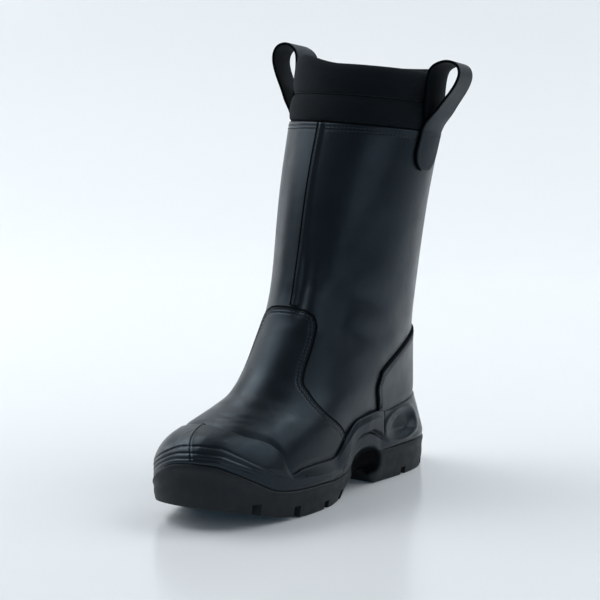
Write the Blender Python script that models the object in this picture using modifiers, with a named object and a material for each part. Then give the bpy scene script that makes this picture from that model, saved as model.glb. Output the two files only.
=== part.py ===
"""Left safety boot: a pull-on leather upper on a moulded two-layer sole, with a padded collar and two pull loops.

Metres, +Z up. The toe points along -Y and the boot's left, outer side along +X. The floor is Z = 0.
"""

import math
from typing import NamedTuple

import bmesh
import bpy
import numpy as np

# Driving sizes
SOLE_FRONT = -0.159
SOLE_BACK = 0.153
LEATHER = 0.0024
OVERLAY = 0.0014
GAP = 0.0003
PANEL_GAP = 0.00055
COLUMNS_A_SIDE = 25
COLUMN_CROWDING = 0.12
COLLAR_COLUMNS = 30
SOLE_STEP = 0.0012
RIM_WIDTH = 0.0038
MIDSOLE_EDGE = 0.0022
THINNEST_WALL = 0.0018
SEAM_HALF_WIDTH = 0.0036
SEAM_THICKNESS = 0.0010
STRAP_HALF_WIDTH = 0.0165
STRAP_THICKNESS = 0.0022
STRAP_ACROSS = np.array([-1.0, -0.5, 0.0, 0.5, 1.0])
GROOVE_WIDTH = 0.0085
GROOVE_DEPTH = 0.0065
GROOVE_SLANT = math.radians(14)
PANEL_LIFT = 0.06
WALL_SHARES = (0.0, 0.08, 0.12, 0.16, 0.24, 0.28, 0.32, 0.45, 0.62, 0.8, 0.94, 1.0)


class Section(NamedTuple):
    """One loop round the upper, in a plane through its front and back points, with its half-widths."""

    front_y: float
    front_z: float
    back_y: float
    back_z: float
    sag: float
    nose: float
    ball: float
    waist: float
    seat: float
    heel: float


# The loops of the last, from the feather edge to the top of the shaft. A half-width is what an even oval would need.
UPPER_SECTIONS = (
    Section(-0.1450, 0.0360, 0.1385, 0.0310, 0.0095, 0.074, 0.0520, 0.0385, 0.0445, 0.054),  # feather edge
    Section(-0.1490, 0.0490, 0.1430, 0.0500, 0.0080, 0.076, 0.0530, 0.0400, 0.0460, 0.055),  # toe bulge
    Section(-0.1410, 0.0635, 0.1445, 0.0660, 0.0040, 0.069, 0.0510, 0.0420, 0.0460, 0.054),  # toe shoulder
    Section(-0.1190, 0.0725, 0.1440, 0.0800, 0.0000, 0.054, 0.0470, 0.0430, 0.0455, 0.053),  # top of the toe
    Section(-0.0880, 0.0835, 0.1425, 0.0950, 0.0000, 0.048, 0.0455, 0.0440, 0.0455, 0.051),  # vamp
    Section(-0.0620, 0.1000, 0.1405, 0.1120, 0.0000, 0.049, 0.0465, 0.0455, 0.0465, 0.050),  # middle of the vamp
    Section(-0.0400, 0.1240, 0.1390, 0.1350, 0.0000, 0.050, 0.0480, 0.0480, 0.0485, 0.049),  # instep
    Section(-0.0190, 0.1550, 0.1385, 0.1600, 0.0000, 0.052, 0.0505, 0.0510, 0.0510, 0.051),  # vamp's top edge
    Section(-0.0040, 0.2000, 0.1395, 0.1970, 0.0000, 0.056, 0.0555, 0.0555, 0.0555, 0.0555),  # lower shaft
    Section(0.0100, 0.2500, 0.1440, 0.2390, 0.0000, 0.060, 0.0600, 0.0600, 0.0600, 0.060),  # middle of the shaft
    Section(0.0285, 0.3005, 0.1525, 0.2815, 0.0000, 0.064, 0.0640, 0.0640, 0.0640, 0.064),  # top edge
)
WIDTH_STATIONS = (0.0, 0.30, 0.58, 0.85, 1.0)
TOP_LEVEL = len(UPPER_SECTIONS) - 1
LOW_LEVELS = tuple(third / 3 for third in range(10))
UPPER_LEVELS = LOW_LEVELS + (3.5, 4.0, 4.5, 5.0, 6.0, 7.0, 8.0, 9.0, 10.0)


class CentreStation(NamedTuple):
    """How far the middle of the last swings to the outer side at one place along the foot."""

    y: float
    swing: float


CENTRE_LINE = (
    CentreStation(-0.159, -0.0050),
    CentreStation(-0.105, 0.0000),
    CentreStation(-0.045, 0.0040),
    CentreStation(0.020, 0.0035),
    CentreStation(0.090, 0.0005),
    CentreStation(0.153, 0.0),
)
SWING_FADES_FROM_LEVEL = 3.5
SWING_ENDS_AT_LEVEL = 7.0
SAG_LEAN = 0.58


class Edge(NamedTuple):
    """A point of a panel's edge on the upper, by its turn from the toe in degrees and its level."""

    turn: float
    level: float


# Top edge of the moulded sole: toe bumper, notch, hump, arch band, heel cup.
MIDSOLE_CROWN = (
    Edge(0.0, 3.00),
    Edge(14.0, 2.85),
    Edge(28.0, 2.46),
    Edge(43.0, 1.97),
    Edge(50.0, 1.54),
    Edge(57.5, 0.62),
    Edge(62.0, 0.77),
    Edge(70.0, 0.81),
    Edge(82.0, 0.70),
    Edge(88.0, 1.38),
    Edge(95.5, 1.92),
    Edge(106.0, 1.97),
    Edge(120.0, 1.62),
    Edge(134.0, 1.63),
    Edge(155.0, 1.70),
    Edge(180.0, 1.75),
)
# Lower edge of the raised band over the arch.
ARCH_BAND_FOOT = (
    Edge(84.0, 0.00),
    Edge(88.0, 0.25),
    Edge(92.0, 0.87),
    Edge(97.5, 1.20),
    Edge(104.0, 1.20),
    Edge(114.0, 0.57),
    Edge(120.0, 0.00),
)
ARCH_BAND_RELIEF = 0.0016
HEEL_DISH_TURN = math.radians(130)
HEEL_DISH_HALF_TURN = math.radians(13)
HEEL_DISH_DEPTH = 0.0016
TOE_RIB_SHARES = (0.12, 0.28)
TOE_RIB_DEPTH = 0.0010
TOE_RIBS_END_TURN = math.radians(52)
# Side edge of the vamp, from the sole to the rounded corners of its tongue-shaped top.
VAMP_EDGE = (
    Edge(91.0, 0.47),
    Edge(87.5, 1.50),
    Edge(68.0, 3.10),
    Edge(48.0, 4.35),
    Edge(37.0, 5.00),
    Edge(34.5, 5.48),
    Edge(34.0, 5.92),
    Edge(32.0, 6.47),
    Edge(27.0, 6.77),
    Edge(18.0, 6.92),
)
VAMP_TOP_LEVEL = 6.98
# Upper edge of the heel counter, from its front corner to the back.
COUNTER_TOP = (
    Edge(99.0, 4.37),
    Edge(104.5, 4.65),
    Edge(114.5, 4.97),
    Edge(124.0, 5.17),
    Edge(140.0, 5.35),
    Edge(180.0, 5.50),
)
# Front edge of the heel counter, from the sole to its front corner.
COUNTER_FRONT = (
    Edge(112.0, 1.50),
    Edge(107.5, 2.58),
    Edge(101.0, 3.63),
    Edge(99.0, 4.37),
)


class Profile(NamedTuple):
    """A point of a section at the shaft's top: out from the leather's face and up along the shaft."""

    out: float
    up: float


# Outside, rim and inside of the padded collar: two rolls with a stitched groove between them.
COLLAR_PROFILE = (
    Profile(-0.0022, 0.0007),
    Profile(0.0002, 0.0040),
    Profile(0.0007, 0.0120),
    Profile(0.0003, 0.0200),
    Profile(-0.0014, 0.0255),
    Profile(-0.0026, 0.0275),
    Profile(-0.0014, 0.0295),
    Profile(-0.0006, 0.0350),
    Profile(-0.0009, 0.0430),
    Profile(-0.0022, 0.0500),
    Profile(-0.0048, 0.0540),
    Profile(-0.0076, 0.0530),
    Profile(-0.0096, 0.0480),
    Profile(-0.0102, 0.0380),
    Profile(-0.0094, 0.0275),
    Profile(-0.0102, 0.0160),
    Profile(-0.0098, 0.0040),
)
COLLAR_TUCK_LEVEL = 9.76
COLLAR_TUCK_THICKNESS = 0.006
class StrapStation(NamedTuple):
    """A point of a pull strap's middle line: shares of the loop's bulge and rise, and its share of the twist."""

    out: float
    up: float
    twist: float


# The loop from the shaft's top edge up and over, then its leg down the outside of the collar.
STRAP_PATH = (
    StrapStation(0.065, 0.03, 0.00),
    StrapStation(0.130, 0.10, 0.08),
    StrapStation(0.290, 0.23, 0.30),
    StrapStation(0.530, 0.41, 0.65),
    StrapStation(0.780, 0.58, 0.90),
    StrapStation(0.960, 0.74, 1.00),
    StrapStation(1.000, 0.86, 1.00),
    StrapStation(0.900, 0.955, 0.95),
    StrapStation(0.680, 1.000, 0.80),
    StrapStation(0.430, 0.995, 0.55),
    StrapStation(0.220, 0.930, 0.25),
    StrapStation(0.110, 0.820, 0.00),
    StrapStation(0.085, 0.680, 0.00),
    StrapStation(0.085, 0.520, 0.00),
    StrapStation(0.090, 0.370, 0.00),
    StrapStation(0.100, 0.260, 0.00),
    StrapStation(0.110, 0.190, 0.00),
)
STRAP_TWIST = math.radians(9)


class Loop(NamedTuple):
    """One pull loop: its place round the shaft, how far it stands out, and how high it rises over the top edge."""

    name: str
    turn: float
    bulge: float
    rise: float


LOOPS = (
    Loop("pull_loop_left", math.radians(93), 0.0265, 0.0575),
    Loop("pull_loop_right", math.radians(271), 0.0280, 0.0670),
)
# Distances from the tab's round end to the places where its width is set, and the level of that end on the shaft.
TAB_STATIONS = (0.0003, 0.0012, 0.0032, 0.0070, 0.0165, 0.0250, 0.0315)
TAB_END_LEVEL = 9.33
STRAP_FLAT_FROM_OUT = 0.004
# The seam lies to the left of the middle line low on the shaft and comes back to it at the top.
SEAM_LOW_OFFSET = 0.0062
SEAM_TOP_OFFSET = 0.0008
# Puts the middle of the boot's box over the origin.
FRAME_SHIFT = np.array([0.0005, 0.00045, 0.0])


class Groove(NamedTuple):
    """A slanted groove cut from the sole's edge into the tread, alike on both sides."""

    y: float
    reach: float
    floor: float


GROOVES = (
    Groove(-0.121, 0.020, 0.0120),
    Groove(-0.081, 0.020, 0.0038),
    Groove(-0.042, 0.022, 0.0),
    Groove(-0.014, 0.022, 0.0025),
    Groove(0.090, 0.018, 0.0),
    Groove(0.127, 0.015, 0.0),
)


class SoleStation(NamedTuple):
    """The sole at one share of its length: tread height, half-width, and the tread's tuck inward."""

    share: float
    tread: float
    spread: float
    tuck: float


SOLE_STATIONS = (
    SoleStation(0.00, 0.0180, 0.0880, 0.0015),
    SoleStation(0.05, 0.0150, 0.0810, 0.0015),
    SoleStation(0.12, 0.0100, 0.0730, 0.0015),
    SoleStation(0.22, 0.0030, 0.0640, 0.0015),
    SoleStation(0.30, 0.0000, 0.0585, 0.0015),
    SoleStation(0.40, 0.0000, 0.0520, 0.0015),
    SoleStation(0.475, 0.0000, 0.0465, 0.0040),
    SoleStation(0.53, 0.0090, 0.0440, 0.0060),
    SoleStation(0.59, 0.0160, 0.0440, 0.0070),
    SoleStation(0.632, 0.0140, 0.0448, 0.0080),
    SoleStation(0.672, 0.0000, 0.0456, 0.0060),
    SoleStation(0.80, 0.0000, 0.0530, 0.0020),
    SoleStation(0.92, 0.0000, 0.0655, 0.0015),
    SoleStation(1.00, 0.0060, 0.0720, 0.0015),
)


class PartingPoint(NamedTuple):
    """Height of the line between the sole's layers, by its turn in degrees from the line's highest place."""

    turn: float
    height: float


PARTING_LINE = (
    PartingPoint(0.0, 0.0523),
    PartingPoint(10.0, 0.0508),
    PartingPoint(20.0, 0.0447),
    PartingPoint(30.0, 0.0360),
    PartingPoint(37.0, 0.0294),
    PartingPoint(42.0, 0.0262),
    PartingPoint(55.0, 0.0228),
    PartingPoint(64.0, 0.0220),
    PartingPoint(74.0, 0.0212),
    PartingPoint(81.0, 0.0196),
    PartingPoint(87.0, 0.0196),
    PartingPoint(93.5, 0.0250),
    PartingPoint(101.5, 0.0310),
    PartingPoint(107.5, 0.0300),
    PartingPoint(112.5, 0.0275),
    PartingPoint(127.0, 0.0265),
    PartingPoint(147.0, 0.0260),
    PartingPoint(180.0, 0.0250),
)
# The line is highest a little to the outer side of the toe; the shift ends before the waist.
PARTING_LEAD = math.radians(10)
LEAD_FADES_FROM = math.radians(40)
LEAD_FADES_TO = math.radians(80)


def spline(stations, values, at):
    """Natural cubic through a table, read at any number of places."""
    x = np.asarray(stations, float)
    y = np.asarray(values, float)
    step = np.diff(x)
    system = np.eye(len(x))
    target = np.zeros(y.shape)
    for i in range(1, len(x) - 1):
        system[i, i - 1 : i + 2] = step[i - 1], 2 * (step[i - 1] + step[i]), step[i]
        target[i] = 6 * ((y[i + 1] - y[i]) / step[i] - (y[i] - y[i - 1]) / step[i - 1])
    bend = np.linalg.solve(system, target)
    at = np.clip(np.asarray(at, float), x[0], x[-1])
    i = np.clip(np.searchsorted(x, at) - 1, 0, len(x) - 2)
    b = (at - x[i]) / step[i]
    a = 1 - b
    curve = step[i] ** 2 / 6
    if y.ndim > 1:
        a, b, curve = a[:, None], b[:, None], curve[:, None]
    return a * y[i] + b * y[i + 1] + ((a**3 - a) * bend[i] + (b**3 - b) * bend[i + 1]) * curve


def steady(stations, values, at):
    """Cubic through a table that stays level between equal values and never overshoots."""
    x = np.asarray(stations, float)
    y = np.asarray(values, float)
    slope = np.diff(y) / np.diff(x)
    tangent = np.concatenate([slope[:1], np.zeros(len(x) - 2), slope[-1:]])
    for i in range(1, len(x) - 1):
        if slope[i - 1] * slope[i] > 0:
            tangent[i] = 2 * slope[i - 1] * slope[i] / (slope[i - 1] + slope[i])
    at = np.clip(np.asarray(at, float), x[0], x[-1])
    i = np.clip(np.searchsorted(x, at) - 1, 0, len(x) - 2)
    width = x[i + 1] - x[i]
    s = (at - x[i]) / width
    start = (1 + 2 * s) * (1 - s) ** 2 * y[i] + s * (1 - s) ** 2 * width * tangent[i]
    end = s * s * (3 - 2 * s) * y[i + 1] - s * s * (1 - s) * width * tangent[i + 1]
    return start + end


def column(table, name):
    """One named column of a table."""
    return [getattr(row, name) for row in table]


def ease(low, high, at):
    """Smooth rise from 0 at low to 1 at high."""
    s = np.clip((np.asarray(at, float) - low) / (high - low), 0, 1)
    return s * s * (3 - 2 * s)


def boot_turns():
    """Angles of the columns round the boot, from the toe over the left side, closest together at the waist."""
    share = np.arange(2 * COLUMNS_A_SIDE) / COLUMNS_A_SIDE
    return np.pi * share + COLUMN_CROWDING * np.sin(2 * np.pi * share)


def upper_point(level, turn):
    """A point on the outside of the upper. Level counts the sections, turn runs round from the toe to the left."""
    level, turn = (np.asarray(v, float) for v in np.broadcast_arrays(level, turn))
    rows = spline(range(len(UPPER_SECTIONS)), UPPER_SECTIONS, level.ravel())
    angle = turn.ravel()
    share = (1 - np.cos(angle)) / 2
    front_y, front_z, back_y, back_z, sag = rows[:, :5].T
    y = front_y + share * (back_y - front_y)
    dip = np.sin(np.pi * share**SAG_LEAN) ** 2
    z = front_z + share * (back_z - front_z) - sag * dip
    weights = spline(WIDTH_STATIONS, np.eye(len(WIDTH_STATIONS)), share)
    half = (weights * rows[:, 5:]).sum(axis=1)
    fade = 1 - ease(SWING_FADES_FROM_LEVEL, SWING_ENDS_AT_LEVEL, level.ravel())
    x = half * np.sin(angle) + fade * centre_x(y)
    return np.stack([x, y, z], axis=1).reshape(*level.shape, 3)


def centre_x(y):
    """Sideways place of the last's middle line."""
    return spline(column(CENTRE_LINE, "y"), column(CENTRE_LINE, "swing"), y)


def upper_shell(level, turn, out):
    """A point at a distance outside the upper's surface."""
    step = 1e-3
    level, turn = (np.asarray(v, float) for v in np.broadcast_arrays(level, turn))
    above = np.minimum(level + step, TOP_LEVEL)
    below = np.maximum(level - step, 0)
    round_way = upper_point(level, turn + step) - upper_point(level, turn - step)
    up_way = upper_point(above, turn) - upper_point(below, turn)
    normal = np.cross(round_way, up_way)
    normal /= np.linalg.norm(normal, axis=-1, keepdims=True)
    return upper_point(level, turn) + normal * np.asarray(out, float)[..., None]


def sole_station(name, turn):
    """One column of the sole's table, read at the angles given."""
    share = (1 - np.cos(turn)) / 2
    return steady(column(SOLE_STATIONS, "share"), column(SOLE_STATIONS, name), share)


def parting_height(turn):
    """Height of the line between the outsole and the midsole at the angles given."""
    away = np.abs(np.mod(turn + np.pi, 2 * np.pi) - np.pi)
    lead = PARTING_LEAD * (1 - ease(LEAD_FADES_FROM, LEAD_FADES_TO, away))
    shifted = np.degrees(np.abs(np.mod(turn - lead + np.pi, 2 * np.pi) - np.pi))
    return steady(column(PARTING_LINE, "turn"), column(PARTING_LINE, "height"), shifted)


def sole_outline(turn):
    """The sole's outline seen from above."""
    share = (1 - np.cos(turn)) / 2
    y = SOLE_FRONT + share * (SOLE_BACK - SOLE_FRONT)
    spread = spline(column(SOLE_STATIONS, "share"), column(SOLE_STATIONS, "spread"), share)
    return np.stack([spread * np.sin(turn) + centre_x(y), y], axis=-1)


def sole_loop(turn, inset, height):
    """A loop that follows the sole's outline at a distance inside it."""
    step = 1e-3
    along = sole_outline(turn + step) - sole_outline(turn - step)
    along /= np.linalg.norm(along, axis=-1, keepdims=True)
    flat = sole_outline(turn) + np.asarray(inset)[..., None] * np.stack([-along[..., 1], along[..., 0]], axis=-1)
    return np.concatenate([flat, np.broadcast_to(height, turn.shape)[..., None]], axis=-1)


def shell_on_facets(level, turn, out):
    """A point at a distance outside the upper, between the corners of the upper's own facets."""
    level, turn = (np.asarray(v, float) for v in np.broadcast_arrays(level, turn))
    rows = np.array(UPPER_LEVELS)
    turns = np.append(boot_turns(), 2 * np.pi)
    angle = np.mod(turn, 2 * np.pi)
    i = np.clip(np.searchsorted(rows, level, side="right") - 1, 0, len(rows) - 2)
    j = np.clip(np.searchsorted(turns, angle, side="right") - 1, 0, len(turns) - 2)
    up = ((level - rows[i]) / (rows[i + 1] - rows[i]))[..., None]
    along = ((angle - turns[j]) / (turns[j + 1] - turns[j]))[..., None]
    distance = np.broadcast_to(out, level.shape)
    low = upper_shell(rows[i], turns[j], distance) * (1 - along) + upper_shell(rows[i], turns[j + 1], distance) * along
    high = (
        upper_shell(rows[i + 1], turns[j], distance) * (1 - along)
        + upper_shell(rows[i + 1], turns[j + 1], distance) * along
    )
    return low * (1 - up) + high * up


def edge_level(edges, turn):
    """Level of a panel's edge at the angles given, the same on both sides of the boot."""
    away = np.degrees(np.abs(np.mod(turn + np.pi, 2 * np.pi) - np.pi))
    return steady(column(edges, "turn"), column(edges, "level"), away)


def edge_turn(edges, level):
    """Angle of a panel's edge at the levels given."""
    return np.radians(steady(column(edges, "level"), column(edges, "turn"), level))


def level_at_height(turn, height):
    """Level at which the upper reaches a height, for each angle."""
    levels = np.linspace(0, TOP_LEVEL, 401)
    heights = upper_point(levels[:, None], turn[None, :])[..., 2]
    return np.array([np.interp(h, heights[:, i], levels) for i, h in enumerate(height)])


def top_frame():
    """Middle, axis, front-to-back direction and half-sizes of the shaft's top edge."""
    top = UPPER_SECTIONS[-1]
    front = np.array([0, top.front_y, top.front_z])
    back = np.array([0, top.back_y, top.back_z])
    length = np.linalg.norm(back - front)
    rearward = (back - front) / length
    axis = np.cross([1, 0, 0], rearward)
    return (front + back) / 2, axis, rearward, length / 2, top.waist


def top_point(turn, out, up):
    """A point near the shaft's top edge, out from its face and up along its axis."""
    middle, axis, rearward, depth, width = top_frame()
    turn = np.asarray(turn, float)[..., None]
    return (
        middle
        + np.asarray(up, float)[..., None] * axis
        - np.cos(turn) * (depth + np.asarray(out, float)[..., None]) * rearward
        + np.sin(turn) * (width + np.asarray(out, float)[..., None]) * np.array([1.0, 0, 0])
    )


# End of the shape functions


def clear_scene():
    """Remove every object and collection of the start-up file."""
    for item in list(bpy.data.objects):
        bpy.data.objects.remove(item, do_unlink=True)
    for group in list(bpy.data.collections):
        bpy.data.collections.remove(group)


def new_collection(name):
    """A collection linked to the scene."""
    group = bpy.data.collections.new(name)
    bpy.context.scene.collection.children.link(group)
    return group


def new_material(name, colour, roughness):
    """A plain surface of one colour."""
    material = bpy.data.materials.new(name)
    material.use_nodes = True
    surface = material.node_tree.nodes["Principled BSDF"]
    surface.inputs["Base Color"].default_value = (*colour, 1)
    surface.inputs["Roughness"].default_value = roughness
    material.diffuse_color = (*colour, 1)
    return material


def add_object(name, mesh, group, material):
    """An object at the origin with one material."""
    item = bpy.data.objects.new(name, mesh)
    mesh.materials.append(material)
    group.objects.link(item)
    return item


def mirror_cap(ring):
    """Rungs across a loop between columns that mirror each other, with the first and last on the middle line."""
    count = len(ring)
    faces = [(ring[0], ring[1], ring[-1])]
    for i in range(1, count // 2 - 1):
        faces.append((ring[i], ring[i + 1], ring[count - i - 1], ring[count - i]))
    faces.append((ring[count // 2 - 1], ring[count // 2], ring[count // 2 + 1]))
    return faces


def strip_cap(ring):
    """Rungs between the two long sides of a flat loop."""
    count = len(ring)
    return [(ring[i], ring[i + 1], ring[count - i - 2], ring[count - i - 1]) for i in range(count // 2 - 1)]


def loft(name, rings, group, material, joined=False, cap=None):
    """Faces between loops of points; the last joins the first, or both ends are capped, or it stays open."""
    bm = bmesh.new()
    loops = [[bm.verts.new(point + FRAME_SHIFT) for point in ring] for ring in rings]
    pairs = list(zip(loops, loops[1:]))
    if joined:
        pairs.append((loops[-1], loops[0]))
    for low, high in pairs:
        for i in range(len(low)):
            j = (i + 1) % len(low)
            bm.faces.new((low[i], low[j], high[j], high[i]))
    if cap:
        for ring in (loops[0], loops[-1]):
            for face in cap(ring):
                bm.faces.new(face)
    bmesh.ops.remove_doubles(bm, verts=bm.verts, dist=2e-5)
    bmesh.ops.dissolve_degenerate(bm, edges=bm.edges, dist=1e-6)
    bmesh.ops.recalc_face_normals(bm, faces=bm.faces)
    mesh = bpy.data.meshes.new(name)
    bm.to_mesh(mesh)
    bm.free()
    return add_object(name, mesh, group, material)


def thicken(item, thickness, offset):
    """Give a surface a wall, inside it (-1) or outside it (1)."""
    wall = item.modifiers.new("Wall", "SOLIDIFY")
    wall.thickness = thickness
    wall.offset = offset
    wall.use_even_offset = True
    wall.use_quality_normals = True
    return item


def face_out(item):
    """Turn an open surface so that its faces look away from the shaft's middle."""
    mesh = item.data
    middle = np.array([0.0, 0.03, 0.12])
    leaning = 0.0
    for face in mesh.polygons:
        leaning += face.area * float(np.dot(face.normal, np.array(face.center) - middle))
    if leaning < 0:
        mesh.flip_normals()
    return item


def build_upper(group, material):
    """The leather upper: vamp, quarters and shaft as one hollow solid, open at the collar and underneath."""
    turns = boot_turns()
    rings = [upper_point(np.full(turns.shape, level), turns) for level in UPPER_LEVELS]
    return thicken(face_out(loft("upper", rings, group, material)), LEATHER, -1)


def build_outsole(group, cutters, material):
    """The tread layer: toe spring, arch and heel, with a rim that the moulded midsole sits in."""
    turns = boot_turns()
    tread = sole_station("tread", turns)
    parting = parting_height(turns)
    tuck = sole_station("tuck", turns)
    seat = (tread + upper_point(np.zeros(turns.shape), turns)[:, 2]) / 2
    none = np.zeros(turns.shape)
    rings = [
        sole_loop(turns, tuck, tread),
        sole_loop(turns, tuck * 0.4, tread + 0.25 * (parting - tread)),
        sole_loop(turns, none, tread + 0.6 * (parting - tread)),
        sole_loop(turns, none, parting - 0.0007),
        sole_loop(turns, none + 0.0007, parting),
        sole_loop(turns, none + RIM_WIDTH, parting),
        sole_loop(turns, none + RIM_WIDTH + 0.001, seat),
    ]
    outsole = loft("outsole", rings, group, material, cap=mirror_cap)
    grooves = build_grooves(cutters)
    cut = outsole.modifiers.new("Lugs", "BOOLEAN")
    cut.operation = "DIFFERENCE"
    cut.solver = "EXACT"
    cut.object = grooves
    return outsole


def build_grooves(cutters):
    """Slanted boxes that cut the grooves between the lugs."""
    boxes = []
    for groove in GROOVES:
        share = (groove.y - SOLE_FRONT) / (SOLE_BACK - SOLE_FRONT)
        turn = math.acos(1 - 2 * share)
        for side in (1, -1):
            edge = sole_outline(np.array([side * turn]))[0]
            length = groove.reach + 0.012
            bpy.ops.mesh.primitive_cube_add(size=1)
            box = bpy.context.object
            box.scale = (length, GROOVE_WIDTH, 2 * GROOVE_DEPTH)
            box.rotation_euler = (0, 0, side * GROOVE_SLANT)
            middle = np.array([edge[0] - side * (groove.reach - 0.012) / 2, edge[1], groove.floor])
            box.location = middle + FRAME_SHIFT
            boxes.append(box)
    bpy.ops.object.select_all(action="DESELECT")
    for box in boxes:
        box.select_set(True)
    bpy.context.view_layer.objects.active = boxes[0]
    bpy.ops.object.join()
    grooves = bpy.context.object
    grooves.name = "groove_boxes"
    bpy.ops.object.transform_apply(location=True, rotation=True, scale=True)
    for owner in list(grooves.users_collection):
        owner.objects.unlink(grooves)
    cutters.objects.link(grooves)
    grooves.hide_render = True
    grooves.display_type = "WIRE"
    return grooves


def wall_relief(turns, levels):
    """How far the sole's side stands out at the arch band and in at the heel's oval dish."""
    away = np.abs(np.mod(turns + np.pi, 2 * np.pi) - np.pi)
    foot = edge_level(ARCH_BAND_FOOT, turns)
    beside = ease(math.radians(83), math.radians(88), away) * (1 - ease(math.radians(113), math.radians(121), away))
    band = ARCH_BAND_RELIEF * beside * (2 * ease(foot - 0.12, foot + 0.12, levels) - 1)
    across = (away - HEEL_DISH_TURN) / HEEL_DISH_HALF_TURN
    along = (levels - 0.75) / 0.62
    dish = HEEL_DISH_DEPTH * (1 - ease(0.35, 1.0, across**2 + along**2))
    return band - dish


def build_midsole(group, material):
    """The moulded middle of the sole: wedge, toe bumper, arch band and heel cup in one piece."""
    turns = boot_turns()
    none = np.zeros(turns.shape)
    tread = sole_station("tread", turns)
    parting = parting_height(turns)
    feather = upper_point(none, turns)
    seat = (tread + feather[:, 2]) / 2
    crown = edge_level(MIDSOLE_CROWN, turns)
    start = np.minimum(level_at_height(turns, parting + 0.003), crown - 0.3)
    start = np.maximum(start, 0)
    ledge = sole_loop(turns, none + SOLE_STEP, parting + GAP)
    outward = sole_loop(turns, none, 0.0) - sole_loop(turns, none + 1.0, 0.0)
    away = np.abs(np.mod(turns + np.pi, 2 * np.pi) - np.pi)
    toe_side = 1 - ease(0.75 * TOE_RIBS_END_TURN, TOE_RIBS_END_TURN, away)
    base = np.linalg.norm(ledge[:, :2] - upper_point(start, turns)[:, :2], axis=1)
    rings = [
        sole_loop(turns, none + RIM_WIDTH + 0.0018, seat + GAP),
        sole_loop(turns, none + RIM_WIDTH + 0.0006, parting + GAP),
        ledge,
    ]
    for share in WALL_SHARES:
        level = start + share * (crown - start)
        out = MIDSOLE_EDGE + np.maximum(base - MIDSOLE_EDGE, 0) * (1 - share) ** 1.3
        out = out + wall_relief(turns, level) * min(1.0, 4 * (1 - share) + 0.4)
        beyond = ((upper_shell(level, turns, out) - ledge) * outward).sum(axis=1)
        out = out - np.maximum(beyond, 0)
        if share in TOE_RIB_SHARES:
            out = out - TOE_RIB_DEPTH * toe_side
        rings.append(upper_shell(level, turns, np.maximum(out, THINNEST_WALL)))
    for level in reversed(LOW_LEVELS):
        rings.append(shell_on_facets(np.minimum(level, crown), turns, PANEL_GAP + 0.00005))
    floor = rings[-1].copy()
    floor[:, 2] = feather[:, 2] - GAP
    rings.append(floor)
    return loft("midsole", rings, group, material, cap=mirror_cap)


def build_insole(group, material):
    """The footbed, inside the upper's open bottom."""
    turns = boot_turns()
    none = np.zeros(turns.shape)
    inside = -(LEATHER + 3 * GAP)
    bottom = upper_shell(none, turns, none + inside)
    bottom[:, 2] = upper_point(none, turns)[:, 2] + GAP
    top = upper_shell(none + 0.35, turns, none + inside - 0.0003)
    return loft("insole", [bottom, top], group, material, cap=mirror_cap)


def panel(name, levels, turns, group, material, thickness):
    """A panel that lies on the upper's facets, from a grid of levels and angles."""
    inside = shell_on_facets(levels, turns, PANEL_GAP)
    outside = shell_on_facets(levels, turns, PANEL_GAP + thickness)
    rings = np.concatenate([inside, outside[:, ::-1]], axis=1)
    return loft(name, rings, group, material, cap=strip_cap)


def build_vamp(group, material):
    """The vamp panel with its tongue-shaped top, over the front of the upper."""
    turns = boot_turns()
    turns = np.sort(np.mod(turns + np.pi, 2 * np.pi) - np.pi)
    levels = [level for level in UPPER_LEVELS if level < VAMP_TOP_LEVEL] + [6.47, 6.77, 6.92, VAMP_TOP_LEVEL]
    levels = np.array(sorted(set(levels)))
    grid_levels, grid_turns = np.meshgrid(levels, turns, indexing="ij")
    grid_turns = grid_turns.copy()
    for _ in range(4):
        reach = edge_turn(VAMP_EDGE, grid_levels)
        grid_turns = np.clip(grid_turns, -reach, reach)
        lowest = edge_level(MIDSOLE_CROWN, grid_turns) + PANEL_LIFT
        grid_levels = np.maximum(grid_levels, lowest)
    return panel("vamp", grid_levels, grid_turns, group, material, OVERLAY)


def build_counter(group, material):
    """The heel counter panel round the back of the upper."""
    turns = boot_turns()
    levels = np.array([level for level in UPPER_LEVELS if level <= 6])
    grid_levels, grid_turns = np.meshgrid(levels, turns, indexing="ij")
    for _ in range(4):
        lowest = edge_level(MIDSOLE_CROWN, grid_turns) + PANEL_LIFT
        highest = edge_level(COUNTER_TOP, grid_turns)
        grid_levels = np.clip(grid_levels, lowest, highest)
        front = edge_turn(COUNTER_FRONT, grid_levels)
        grid_turns = np.clip(grid_turns, front, 2 * np.pi - front)
    return panel("heel_counter", grid_levels, grid_turns, group, material, OVERLAY)


def build_front_seam(group, material):
    """The raised lap of the shaft's seam down the middle of the front."""
    levels = np.array([7.06, 7.5, 8.0, 8.5, 9.0, 9.5, 9.97])
    round_front = spline(range(len(UPPER_SECTIONS)), column(UPPER_SECTIONS, "nose"), levels)
    middle = np.interp(levels, [levels[0], TOP_LEVEL], [SEAM_LOW_OFFSET, SEAM_TOP_OFFSET])
    places = middle[:, None] + SEAM_HALF_WIDTH * np.array([-1.0, 0.0, 1.0])
    grid_turns = places / round_front[:, None]
    grid_levels = np.broadcast_to(levels[:, None], grid_turns.shape)
    return panel("front_seam", grid_levels, grid_turns, group, material, SEAM_THICKNESS)


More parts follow.
